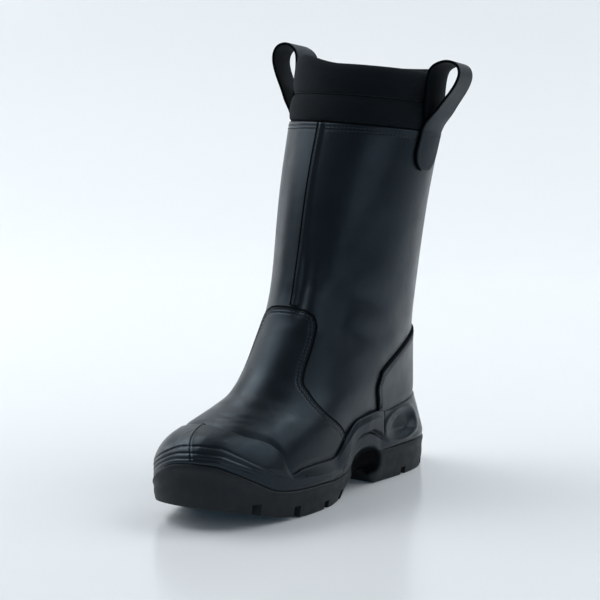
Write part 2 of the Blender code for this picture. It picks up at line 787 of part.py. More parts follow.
def build_collar(group, material):
    """The padded collar, tucked inside the shaft's top edge."""
    turns = np.arange(COLLAR_COLUMNS) * 2 * np.pi / COLLAR_COLUMNS
    flat = np.zeros(turns.shape)
    behind = LEATHER + 2 * GAP
    rings = [
        upper_shell(flat + COLLAR_TUCK_LEVEL, turns, flat - behind - COLLAR_TUCK_THICKNESS),
        upper_shell(flat + COLLAR_TUCK_LEVEL, turns, flat - behind),
        upper_shell(flat + TOP_LEVEL, turns, flat - behind),
    ]
    rings += [top_point(turns, flat + point.out, flat + point.up) for point in COLLAR_PROFILE]
    return loft("collar", rings, group, material, joined=True)


def tab_rings(turn):
    """Loops of a strap's stitched tab, on the facets of the shaft's side."""
    top = UPPER_SECTIONS[-1]
    below = UPPER_SECTIONS[-2]
    level_height = (top.front_z + top.back_z - below.front_z - below.back_z) / 2
    rings = []
    for distance in TAB_STATIONS:
        rounding = max(0.0, 1 - distance / STRAP_HALF_WIDTH)
        half = STRAP_HALF_WIDTH * math.sqrt(1 - rounding**2)
        turns = turn + STRAP_ACROSS * half / top.waist
        levels = np.full(turns.shape, TAB_END_LEVEL + distance / level_height)
        outside = shell_on_facets(levels, turns, PANEL_GAP + STRAP_THICKNESS)
        inside = shell_on_facets(levels, turns, PANEL_GAP)
        rings.append(np.concatenate([outside, inside[::-1]]))
    return rings


def build_loop(loop, group, material):
    """A leather pull strap: a round-ended tab on the shaft, a standing loop, and a leg against the collar."""
    middle, axis, rearward, depth, width = top_frame()
    around = np.cos(loop.turn) * width * np.array([1.0, 0, 0]) + np.sin(loop.turn) * depth * rearward
    around /= np.linalg.norm(around)
    outward = np.cross(around, axis)
    foot = top_point(loop.turn, 0.0, 0.0)
    outs = loop.bulge * np.array(column(STRAP_PATH, "out"))
    ups = loop.rise * np.array(column(STRAP_PATH, "up"))
    twists = STRAP_TWIST * np.array(column(STRAP_PATH, "twist"))
    run_out = np.gradient(outs)
    run_up = np.gradient(ups)
    length = np.hypot(run_out, run_up)
    hug = 1 - ease(STRAP_FLAT_FROM_OUT, 3 * STRAP_FLAT_FROM_OUT, outs)
    sideways = STRAP_HALF_WIDTH * np.concatenate([STRAP_ACROSS, STRAP_ACROSS[::-1]])
    faces = np.repeat([0.5, -0.5], len(STRAP_ACROSS)) * STRAP_THICKNESS
    bend = depth**2 / width
    rings = tab_rings(loop.turn)
    for k in range(len(outs)):
        out = outs[k] + run_up[k] / length[k] * faces - hug[k] * sideways**2 / (2 * bend)
        out = out - math.sin(twists[k]) * sideways
        up = ups[k] - run_out[k] / length[k] * faces
        along = math.cos(twists[k]) * sideways
        rings.append(foot + up[:, None] * axis + out[:, None] * outward + along[:, None] * around)
    return loft(loop.name, rings, group, material, cap=strip_cap)


def main():
    """Build the boot."""
    clear_scene()
    boot = new_collection("safety_boot")
    cutters = new_collection("cutters")
    leather = new_material("smooth_leather", (0.030, 0.034, 0.038), 0.45)
    panel_leather = new_material("panel_leather", (0.034, 0.038, 0.042), 0.42)
    counter_leather = new_material("counter_leather", (0.032, 0.036, 0.040), 0.42)
    seam_leather = new_material("seam_leather", (0.026, 0.030, 0.033), 0.5)
    strap_leather = new_material("strap_leather", (0.030, 0.034, 0.038), 0.5)
    right_strap_leather = new_material("right_strap_leather", (0.030, 0.034, 0.038), 0.5)
    tread_rubber = new_material("tread_rubber", (0.022, 0.024, 0.026), 0.7)
    moulded_foam = new_material("moulded_foam", (0.026, 0.029, 0.031), 0.65)
    textile = new_material("collar_textile", (0.012, 0.014, 0.016), 0.9)
    footbed = new_material("footbed_felt", (0.03, 0.03, 0.03), 0.95)
    build_upper(boot, leather)
    build_midsole(boot, moulded_foam)
    build_outsole(boot, cutters, tread_rubber)
    build_insole(boot, footbed)
    build_vamp(boot, panel_leather)
    build_counter(boot, counter_leather)
    build_front_seam(boot, seam_leather)
    build_collar(boot, textile)
    build_loop(LOOPS[0], boot, strap_leather)
    build_loop(LOOPS[1], boot, right_strap_leather)


main()
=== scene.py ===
"""Looks of a left pull-on safety boot: leather upper, moulded sole, padded collar and pull loops.

Metres, +Z up. The toe points along -Y and the boot's left, outer side along +X. The floor is Z = 0.
A place on the upper is given by its level, which counts the loops of the last from the feather edge
to the shaft's top edge, and its turn, which runs round from the toe over the boot's left side.
"""

import logging
import math
from dataclasses import dataclass, replace
from enum import Enum
from math import radians
from typing import Callable, NamedTuple, Optional, Sequence, Union

import bpy
import numpy as np
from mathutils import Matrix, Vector


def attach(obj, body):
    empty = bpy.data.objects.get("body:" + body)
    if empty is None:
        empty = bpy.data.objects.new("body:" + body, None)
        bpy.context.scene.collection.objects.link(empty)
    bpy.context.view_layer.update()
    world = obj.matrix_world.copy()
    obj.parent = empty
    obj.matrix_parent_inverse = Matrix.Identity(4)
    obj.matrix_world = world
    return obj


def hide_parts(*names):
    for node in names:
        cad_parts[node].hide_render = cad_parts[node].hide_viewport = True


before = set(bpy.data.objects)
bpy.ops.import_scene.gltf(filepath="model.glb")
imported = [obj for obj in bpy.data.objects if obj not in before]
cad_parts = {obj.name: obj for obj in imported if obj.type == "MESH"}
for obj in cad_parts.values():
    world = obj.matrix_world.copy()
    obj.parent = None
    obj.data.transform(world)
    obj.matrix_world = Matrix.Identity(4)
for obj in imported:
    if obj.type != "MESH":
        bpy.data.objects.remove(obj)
log = logging.getLogger("safety_boot")

Array = np.ndarray
Piece = bpy.types.Object
Socket = bpy.types.NodeSocket
Input = Union[Socket, float, tuple]
Pair = tuple[float, float]
Colour = tuple[float, float, float]
Spots = tuple[tuple[float, float, float], ...]

BODY = "root"
# Shift from the tables' own middle to the middle of the frame.
FRAME_SHIFT = np.array([0.0005, 0.00045, 0.0])
# Cool tint that the studio light leaves in the gloss of the black materials.
COOL_GLOSS = (0.58, 0.81, 1.0, 1.0)
# Points along a line that runs all round the shaft.
ROUND_POINTS = 361


class Slot(Enum):
    """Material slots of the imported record."""

    UPPER = "smooth_leather"
    VAMP = "panel_leather"
    COUNTER = "counter_leather"
    SEAM = "seam_leather"
    LEFT_STRAP = "strap_leather"
    RIGHT_STRAP = "right_strap_leather"
    TREAD = "tread_rubber"
    FOAM = "moulded_foam"
    COLLAR = "collar_textile"
    FOOTBED = "footbed_felt"


class Side(Enum):
    """The boot's two sides, by the sign of their turn from the toe."""

    LEFT = 1
    RIGHT = -1


class Edge(NamedTuple):
    """A point of an edge on the upper, by its turn from the toe in degrees and its level."""

    turn: float
    level: float


class Path(NamedTuple):
    """A line on the upper, as levels and turns in radians."""

    level: Array
    turn: Array


class Run(NamedTuple):
    """A line in space that a row of stitches follows, with the surface's normals."""

    points: Array
    normals: Array


class Profile(NamedTuple):
    """A point of a section at the shaft's top: out from the leather's face and up along the shaft."""

    out: float
    up: float


def table(kind: type, *rows: tuple) -> tuple:
    """Rows of a table as named tuples of one kind."""
    return tuple(kind(*row) for row in rows)


def spline(stations: Sequence[float], values: Sequence, at: Array) -> Array:
    """Natural cubic through a table.

    Args:
        stations: Places where the table has values, in rising order.
        values: A number or a row of numbers for each place.
        at: Places to read.

    Returns:
        The values there.
    """
    x = np.asarray(stations, float)
    y = np.asarray(values, float)
    step = np.diff(x)
    system = np.eye(len(x))
    target = np.zeros(y.shape)
    for i in range(1, len(x) - 1):
        system[i, i - 1 : i + 2] = step[i - 1], 2 * (step[i - 1] + step[i]), step[i]
        target[i] = 6 * ((y[i + 1] - y[i]) / step[i] - (y[i] - y[i - 1]) / step[i - 1])
    bend = np.linalg.solve(system, target)
    at = np.clip(np.asarray(at, float), x[0], x[-1])
    i = np.clip(np.searchsorted(x, at) - 1, 0, len(x) - 2)
    b = (at - x[i]) / step[i]
    a = 1 - b
    curve = step[i] ** 2 / 6
    if y.ndim > 1:
        a, b, curve = a[:, None], b[:, None], curve[:, None]
    return a * y[i] + b * y[i + 1] + ((a**3 - a) * bend[i] + (b**3 - b) * bend[i + 1]) * curve


def steady(stations: Sequence[float], values: Sequence[float], at: Array) -> Array:
    """Cubic through a table that stays level between equal values and never overshoots.

    Args:
        stations: Places where the table has values, in rising order.
        values: A number for each place.
        at: Places to read.

    Returns:
        The values there.
    """
    x = np.asarray(stations, float)
    y = np.asarray(values, float)
    slope = np.diff(y) / np.diff(x)
    tangent = np.concatenate([slope[:1], np.zeros(len(x) - 2), slope[-1:]])
    for i in range(1, len(x) - 1):
        if slope[i - 1] * slope[i] > 0:
            tangent[i] = 2 * slope[i - 1] * slope[i] / (slope[i - 1] + slope[i])
    at = np.clip(np.asarray(at, float), x[0], x[-1])
    i = np.clip(np.searchsorted(x, at) - 1, 0, len(x) - 2)
    width = x[i + 1] - x[i]
    s = (at - x[i]) / width
    start = (1 + 2 * s) * (1 - s) ** 2 * y[i] + s * (1 - s) ** 2 * width * tangent[i]
    end = s * s * (3 - 2 * s) * y[i + 1] - s * s * (1 - s) * width * tangent[i + 1]
    return start + end


def ease(low: float, high: float, at: Array) -> Array:
    """Smooth rise from 0 at low to 1 at high."""
    s = np.clip((np.asarray(at, float) - low) / (high - low), 0, 1)
    return s * s * (3 - 2 * s)


def bump(middle: float, width: float, at: Array) -> Array:
    """A bell of height 1 around a place."""
    return np.exp(-(((np.asarray(at, float) - middle) / width) ** 2))


def folded(turn: Array) -> Array:
    """Turn away from the toe, the same on both sides of the boot."""
    return np.abs(np.mod(turn + np.pi, 2 * np.pi) - np.pi)


def edge_level(edges: Sequence[Edge], turn: Array) -> Array:
    """Level of an edge at the turns given, the same on both sides of the boot."""
    return steady([e.turn for e in edges], [e.level for e in edges], np.degrees(folded(turn)))


def edge_turn(edges: Sequence[Edge], level: Array) -> Array:
    """Turn of an edge at the levels given, on the boot's left side."""
    return np.radians(steady([e.level for e in edges], [e.turn for e in edges], level))


def crowded_turns(count: int, spots: Spots) -> Array:
    """Turns all round the boot, alike on both sides, that stand closer together around some spots.

    Args:
        count: How many.
        spots: For each spot its turn and width in degrees, and how many times closer the turns stand there.

    Returns:
        The turns in radians, in rising order.
    """
    fine = np.linspace(0, np.pi, 6001)
    density = np.ones(fine.shape)
    for place, width, gain in spots:
        density += (gain - 1) * bump(radians(place), radians(width), fine)
    total = np.concatenate([[0], np.cumsum((density[1:] + density[:-1]) / 2)])
    half = np.interp(np.linspace(0, total[-1], count // 2 + 1), total, fine)
    return np.concatenate([half, 2 * np.pi - half[-2:0:-1]])


def distance_to_line(points: Array, line: Array) -> tuple[Array, Array]:
    """How far points lie from a line in space.

    Args:
        points: Points, one a row.
        line: The line's corners, one a row.

    Returns:
        Each point's distance, and the share of the line's length where it comes nearest.
    """
    lengths = np.linalg.norm(np.diff(line, axis=0), axis=1)
    before = np.concatenate([[0], np.cumsum(lengths)])
    nearest = np.full(len(points), np.inf)
    share = np.zeros(len(points))
    for k, length in enumerate(lengths):
        if length < 1e-9:
            continue
        along = (line[k + 1] - line[k]) / length
        s = np.clip((points - line[k]) @ along, 0, length)
        away = np.linalg.norm(points - line[k] - s[:, None] * along, axis=1)
        closer = away < nearest
        nearest[closer] = away[closer]
        share[closer] = ((before[k] + s) / before[-1])[closer]
    return nearest, share


def normalised(vectors: Array) -> Array:
    """Vectors of length 1."""
    return vectors / np.linalg.norm(vectors, axis=-1, keepdims=True)


class Section(NamedTuple):
    """One loop round the upper, in a plane through its front and back points, with its half-widths."""

    front_y: float
    front_z: float
    back_y: float
    back_z: float
    sag: float
    nose: float
    ball: float
    waist: float
    seat: float
    heel: float


class Crease(NamedTuple):
    """A soft fold in the leather: the line it follows, its depth and its half-width."""

    line: tuple[Edge, ...]
    depth: float
    width: float


@dataclass(frozen=True)
class Last:
    """The shape that the leather was pulled over, with the soft creases of the worn places."""

    sections: tuple[Section, ...] = table(
        Section,
        (-0.1450, 0.0360, 0.1385, 0.0310, 0.0095, 0.074, 0.0520, 0.0385, 0.0445, 0.054),
        (-0.1490, 0.0490, 0.1430, 0.0500, 0.0080, 0.076, 0.0530, 0.0400, 0.0460, 0.055),
        (-0.1410, 0.0635, 0.1445, 0.0660, 0.0040, 0.069, 0.0510, 0.0420, 0.0460, 0.054),
        (-0.1190, 0.0725, 0.1440, 0.0800, 0.0000, 0.054, 0.0470, 0.0430, 0.0455, 0.053),
        (-0.0880, 0.0835, 0.1425, 0.0950, 0.0000, 0.048, 0.0455, 0.0440, 0.0455, 0.051),
        (-0.0620, 0.1000, 0.1405, 0.1120, 0.0000, 0.049, 0.0465, 0.0455, 0.0465, 0.050),
        (-0.0400, 0.1240, 0.1390, 0.1350, 0.0000, 0.050, 0.0480, 0.0480, 0.0485, 0.049),
        (-0.0190, 0.1550, 0.1385, 0.1600, 0.0000, 0.052, 0.0505, 0.0510, 0.0510, 0.051),
        (-0.0040, 0.2000, 0.1395, 0.1970, 0.0000, 0.056, 0.0555, 0.0555, 0.0555, 0.0555),
        (0.0100, 0.2500, 0.1440, 0.2390, 0.0000, 0.060, 0.0600, 0.0600, 0.0600, 0.060),
        (0.0285, 0.3005, 0.1525, 0.2815, 0.0000, 0.064, 0.0640, 0.0640, 0.0640, 0.064),
    )
    width_stations: tuple[float, ...] = (0.0, 0.30, 0.58, 0.85, 1.0)
    swing_y: tuple[float, ...] = (-0.159, -0.105, -0.045, 0.020, 0.090, 0.153)
    swing_x: tuple[float, ...] = (-0.0050, 0.0000, 0.0040, 0.0035, 0.0005, 0.0)
    swing_fades_from: float = 3.5
    swing_ends_at: float = 7.0
    sag_lean: float = 0.58
    shoulder: float = 0.45
    shoulder_at: float = 2.1
    crease_fade: float = 0.3
    creases: tuple[Crease, ...] = (
        Crease(table(Edge, (66, 2.75), (40, 3.55), (12, 3.95), (-20, 3.85), (-48, 3.30)), 0.0003, 0.0045),
        Crease(table(Edge, (58, 3.35), (30, 4.20), (0, 4.50), (-34, 4.10), (-60, 3.20)), 0.0004, 0.0060),
        Crease(table(Edge, (-25, 3.25), (5, 3.30), (35, 3.05)), 0.00022, 0.0022),
        Crease(table(Edge, (-20, 3.45), (10, 3.50), (40, 3.15)), 0.00022, 0.0022),
        Crease(table(Edge, (104, 5.60), (78, 6.05), (50, 6.35)), 0.0010, 0.0085),
        Crease(table(Edge, (128, 6.10), (98, 6.60), (66, 7.05), (40, 7.15)), 0.0012, 0.0110),
        Crease(table(Edge, (262, 5.70), (288, 6.20), (316, 6.50)), 0.0010, 0.0090),
        Crease(table(Edge, (236, 6.20), (270, 6.80), (304, 7.20)), 0.0012, 0.0110),
        Crease(table(Edge, (150, 6.60), (180, 6.45), (212, 6.65)), 0.0010, 0.0100),
        Crease(table(Edge, (64, 8.75), (58, 8.05), (44, 7.45)), 0.0009, 0.0130),
        Crease(table(Edge, (11, 8.10), (12, 7.60), (13, 7.10), (14, 6.55)), 0.0011, 0.0036),
        Crease(table(Edge, (21, 7.50), (23, 7.15), (26, 6.75), (29, 6.40)), -0.0018, 0.0090),
    )

    @property
    def top(self) -> float:
        """Level of the shaft's top edge."""
        return float(len(self.sections) - 1)

    def centre_x(self, y: Array) -> Array:
        """Sideways place of the last's middle line."""
        return spline(self.swing_y, self.swing_x, y)

    def middle_beside(self, points: Array) -> Array:
        """Sideways place of the middle line beside each point."""
        return self.centre_x(points[:, 1] - FRAME_SHIFT[1]) + FRAME_SHIFT[0]

    def point(self, level: Array, turn: Array) -> Array:
        """A point on the smooth last.

        Args:
            level: Levels.
            turn: Turns in radians.

        Returns:
            Points, with the coordinates last.
        """
        level, turn = (np.asarray(v, float) for v in np.broadcast_arrays(level, turn))
        rows = spline(range(len(self.sections)), self.sections, level.ravel())
        angle = turn.ravel()
        share = (1 - np.cos(angle)) / 2
        front_y, front_z, back_y, back_z, sag = rows[:, :5].T
        y = front_y + share * (back_y - front_y)
        dip = np.sin(np.pi * share**self.sag_lean) ** 2
        z = front_z + share * (back_z - front_z) - sag * dip
        weights = spline(self.width_stations, np.eye(len(self.width_stations)), share)
        half = (weights * rows[:, 5:]).sum(axis=1)
        fade = 1 - ease(self.swing_fades_from, self.swing_ends_at, level.ravel())
        x = half * np.sin(angle) + fade * self.centre_x(y)
        return np.stack([x, y, z], axis=1).reshape(*level.shape, 3) + FRAME_SHIFT

    def tangents(self, level: Array, turn: Array) -> tuple[Array, Array]:
        """How a point moves up with its level and round with its turn.

        Args:
            level: Levels.
            turn: Turns in radians.

        Returns:
            The two directions, in metres for each level and radian.
        """
        step = 1e-3
        level, turn = (np.asarray(v, float) for v in np.broadcast_arrays(level, turn))
        above = np.minimum(level + step, self.top)
        below = np.maximum(level - step, 0)
        up = (self.point(above, turn) - self.point(below, turn)) / (above - below)[..., None]
        around = (self.point(level, turn + step) - self.point(level, turn - step)) / (2 * step)
        return up, around

    def normal(self, level: Array, turn: Array) -> Array:
        """Direction that looks out of the surface."""
        up, around = self.tangents(level, turn)
        return normalised(np.cross(around, up))

    def crease_height(self, base: Array) -> Array:
        """How far the creases lift the surface at points of the smooth last: troughs with soft shoulders.

        Args:
            base: Points of the smooth last.

        Returns:
            The height at each point.
        """
        flat = base.reshape(-1, 3)
        height = np.zeros(len(flat))
        for crease in self.creases:
            share = np.linspace(0, len(crease.line) - 1, 25)
            turn = spline(range(len(crease.line)), [e.turn for e in crease.line], share)
            level = spline(range(len(crease.line)), [e.level for e in crease.line], share)
            away, along = distance_to_line(flat, self.point(level, np.radians(turn)))
            fade = ease(0, self.crease_fade, along) * (1 - ease(1 - self.crease_fade, 1, along))
            shoulder = bump(self.shoulder_at * crease.width, crease.width, away)
            height -= crease.depth * fade * (bump(0, crease.width, away) - self.shoulder * shoulder)
        return height.reshape(base.shape[:-1])

    def shell(self, level: Array, turn: Array, out: Array) -> Array:
        """A point at a distance outside the creased leather."""
        base = self.point(level, turn)
        height = self.crease_height(base) + np.asarray(out, float)
        return base + self.normal(level, turn) * height[..., None]

    def beside(self, path: Path, distance: float) -> Path:
        """A path at a distance to the left of another, as seen by one who walks it on the leather.

        Args:
            path: The path that is walked.
            distance: How far to the left, or to the right below 0.

        Returns:
            The path beside it.
        """
        along = normalised(np.gradient(self.point(*path), axis=0))
        up, around = self.tangents(*path)
        left = np.cross(normalised(np.cross(around, up)), along) * distance
        a, b, c = (up * up).sum(-1), (up * around).sum(-1), (around * around).sum(-1)
        p, q = (left * up).sum(-1), (left * around).sum(-1)
        area = a * c - b * b
        return Path(path.level + (c * p - b * q) / area, path.turn + (a * q - b * p) / area)

    def run(self, path: Path, out: float) -> Run:
        """The line in space of a path at a distance outside the leather."""
        return Run(self.shell(*path, out), self.normal(*path))

    def top_frame(self) -> tuple[Array, Array, Array, float, float]:
        """Middle, axis, front-to-back direction and half-sizes of the shaft's top edge."""
        top = self.sections[-1]
        front = np.array([0, top.front_y, top.front_z])
        back = np.array([0, top.back_y, top.back_z])
        length = float(np.linalg.norm(back - front))
        rearward = (back - front) / length
        axis = np.cross([1, 0, 0], rearward)
        return (front + back) / 2 + FRAME_SHIFT, axis, rearward, length / 2, top.waist

    def top_point(self, turn: Array, out: Array, up: Array) -> Array:
        """A point near the shaft's top edge, out from its face and up along its axis."""
        middle, axis, rearward, depth, width = self.top_frame()
        turn, out, up = (np.asarray(v, float)[..., None] for v in np.broadcast_arrays(turn, out, up))
        across = np.sin(turn) * (width + out) * np.array([1.0, 0, 0])
        return middle + up * axis - np.cos(turn) * (depth + out) * rearward + across


class SoleStation(NamedTuple):
    """The sole at one share of its length: tread height, half-width, and the tread's tuck."""

    share: float
    tread: float
    spread: float
    tuck: float


class PartingPoint(NamedTuple):
    """Height of the line between the sole's layers at a turn from its highest place, in degrees."""

    turn: float
    height: float


@dataclass(frozen=True)
class SolePlan:
    """Outline and heights of the sole."""

    last: Last
    front: float = -0.159
    back: float = 0.153
    stations: tuple[SoleStation, ...] = table(
        SoleStation,
        (0, 0.018, 0.088, 0.0015), (0.05, 0.015, 0.081, 0.0015),
        (0.12, 0.01, 0.073, 0.0015), (0.22, 0.003, 0.064, 0.0015),
        (0.3, 0, 0.0585, 0.0015), (0.4, 0, 0.052, 0.0015),
        (0.475, 0, 0.0465, 0.004), (0.53, 0.009, 0.044, 0.006),
        (0.59, 0.016, 0.044, 0.007), (0.632, 0.014, 0.0448, 0.008),
        (0.672, 0, 0.0456, 0.006), (0.8, 0, 0.053, 0.002),
        (0.92, 0, 0.0655, 0.0015), (1, 0.006, 0.072, 0.0015),
    )
    parting_line: tuple[PartingPoint, ...] = table(
        PartingPoint,
        (0, 0.0523), (10, 0.0508), (20, 0.0447), (30, 0.036), (37, 0.0294),
        (42, 0.0262), (55, 0.0228), (64, 0.022), (74, 0.0212), (81, 0.0196),
        (87, 0.0196), (93.5, 0.025), (101.5, 0.031), (107.5, 0.03), (112.5, 0.0275),
        (127, 0.0265), (147, 0.026), (180, 0.025),
    )
    parting_lead: float = radians(10)
    lead_fades: Pair = (radians(40), radians(80))
    arch_turns: tuple[float, ...] = (85.0, 92.0, 98.0, 106.0, 113.0, 120.0)
    arch_insets: tuple[float, ...] = (0.0, 0.0009, 0.0013, 0.0013, 0.0008, 0.0)
    flush_begins: Pair = (radians(87), radians(91))
    flush_ends: Pair = (radians(109), radians(114))
    cavity_turn: float = radians(102)
    cavity_half_turn: float = radians(10.5)
    cavity_height: float = 0.0205
    cavity_half_height: float = 0.0175
    cavity_depth: float = 0.0014
    cavity_flat: float = 0.70

    def value(self, name: str, turn: Array) -> Array:
        """One column of the table at the turns given."""
        share = (1 - np.cos(turn)) / 2
        return steady([s.share for s in self.stations], [getattr(s, name) for s in self.stations], share)

    def parting(self, turn: Array) -> Array:
        """Height of the line between the layers, highest on the outer side of the toe."""
        lead = self.parting_lead * (1 - ease(*self.lead_fades, folded(turn)))
        away = np.degrees(folded(turn - lead))
        return steady([p.turn for p in self.parting_line], [p.height for p in self.parting_line], away)

    def arch_inset(self, turn: Array) -> Array:
        """How far the sole's side steps back under the arch band."""
        return steady(self.arch_turns, self.arch_insets, np.degrees(folded(turn)))

    def flush(self, turn: Array) -> Array:
        """1 under the arch band, where the sole's layers meet without a step, and 0 elsewhere."""
        away = folded(turn)
        return ease(*self.flush_begins, away) * (1 - ease(*self.flush_ends, away))

    def cavity(self, turn: Array, height: Array) -> Array:
        """Depth of the rounded cavity in the arch's side, by turn and height."""
        across = (folded(turn) - self.cavity_turn) / self.cavity_half_turn
        along = (height - self.cavity_height) / self.cavity_half_height
        return self.cavity_depth * (1 - ease(self.cavity_flat, 1.0, np.hypot(across, along)))

    def outline(self, turn: Array) -> Array:
        """The sole's outline seen from above."""
        share = (1 - np.cos(turn)) / 2
        y = self.front + share * (self.back - self.front)
        spread = spline([s.share for s in self.stations], [s.spread for s in self.stations], share)
        return np.stack([spread * np.sin(turn) + self.last.centre_x(y), y], axis=-1) + FRAME_SHIFT[:2]

    def outward(self, turn: Array) -> Array:
        """Level direction that looks out of the outline."""
        step = 1e-3
        along = normalised(self.outline(turn + step) - self.outline(turn - step))
        return np.stack([along[..., 1], -along[..., 0], np.zeros(along.shape[:-1])], axis=-1)

    def loop(self, turn: Array, inset: Array, height: Array) -> Array:
        """A loop that follows the outline at a distance inside it."""
        flat = np.concatenate([self.outline(turn), np.broadcast_to(height, turn.shape)[..., None]], axis=-1)
        return flat - self.outward(turn) * np.broadcast_to(inset, turn.shape)[..., None]

    def tread_height(self, y: float) -> float:
        """Height of the tread under a place along the foot."""
        share = (y - FRAME_SHIFT[1] - self.front) / (self.back - self.front)
        tread = steady([s.share for s in self.stations], [s.tread for s in self.stations], np.array([share]))
        return float(tread[0])


def deselect() -> None:
    """Leaves nothing selected."""
    bpy.ops.object.select_all(action="DESELECT")


def activate(item: Piece) -> None:
    """Makes one piece the only selected and active one."""
    deselect()
    item.select_set(True)
    bpy.context.view_layer.objects.active = item


def pick_edges(item: Piece, wanted: Callable[[Vector, Vector], bool]) -> None:
    """Selects edges of the active piece and leaves it in edit mode.

    Args:
        item: The piece.
        wanted: Tells from an edge's two ends whether it is selected.
    """
    bpy.ops.object.mode_set(mode="EDIT")
    bpy.ops.mesh.select_mode(type="EDGE")
    bpy.ops.mesh.select_all(action="DESELECT")
    bpy.ops.object.mode_set(mode="OBJECT")
    vertices = item.data.vertices
    for edge in item.data.edges:
        edge.select = wanted(*(vertices[v].co for v in edge.vertices))
    bpy.ops.object.mode_set(mode="EDIT")


def mesh_points(mesh: bpy.types.Mesh) -> Array:
    """A mesh's points, one a row."""
    flat = np.zeros(len(mesh.vertices) * 3)
    mesh.vertices.foreach_get("co", flat)
    return flat.reshape(-1, 3)


def wrapped_grid(
    name: str, rings: Array, marks: Optional[dict[str, Array]] = None, cloth_size: Pair = (1.0, 1.0)
) -> Piece:
    """A grid primitive whose rows and columns are laid on given points, with touching edges welded.

    Args:
        name: The piece's name.
        rings: Points as rows by columns by coordinates.
        marks: Named numbers for each point, kept as attributes.
        cloth_size: Width and height that the grid's UV map covers.

    Returns:
        The piece, with smooth faces.
    """
    rows, columns = rings.shape[:2]
    deselect()
    bpy.ops.mesh.primitive_grid_add(x_subdivisions=columns - 1, y_subdivisions=rows - 1, size=1)
    item = bpy.context.object
    item.name = name
    mesh = item.data
    mesh.name = name
    flat = mesh_points(mesh)
    i = np.rint((flat[:, 0] + 0.5) * (columns - 1)).astype(int)
    j = np.rint((flat[:, 1] + 0.5) * (rows - 1)).astype(int)
    mesh.vertices.foreach_set("co", rings[j, i].ravel())
    for mark, values in (marks or {}).items():
        attribute = mesh.attributes.new(mark, "FLOAT", "POINT")
        attribute.data.foreach_set("value", values[j, i].astype(np.float32))
    layer = mesh.uv_layers.active
    uv = np.zeros(len(layer.data) * 2)
    layer.data.foreach_get("uv", uv)
    layer.data.foreach_set("uv", (uv.reshape(-1, 2) * np.array(cloth_size)).ravel())
    mesh.update()
    weld(item)
    bpy.ops.object.shade_smooth()
    return item


def weld(item: Piece, distance: float = 4e-6) -> None:
    """Merges the points of a piece that lie on each other and turns its faces outwards.

    Args:
        item: The piece.
        distance: How close such points lie.
    """
    activate(item)
    bpy.ops.object.mode_set(mode="EDIT")
    bpy.ops.mesh.select_all(action="SELECT")
    bpy.ops.mesh.remove_doubles(threshold=distance)
    bpy.ops.mesh.dissolve_degenerate(threshold=1e-7)
    bpy.ops.mesh.normals_make_consistent(inside=False)
    bpy.ops.object.mode_set(mode="OBJECT")


def closed(rings: Array) -> Array:
    """Rings with their first column repeated at the end."""
    return np.concatenate([rings, rings[:, :1]], axis=1)


def to_middle(ring: Array, middle_x: Array, shares: Sequence[float]) -> Array:
    """Copies of a loop drawn in towards its middle line, where its two sides meet, by shares of the way."""
    spine = (ring + np.roll(ring[::-1], 1, axis=0)) / 2
    spine[:, 0] = (middle_x + np.roll(middle_x[::-1], 1)) / 2
    return np.array([ring + share * (spine - ring) for share in shares])


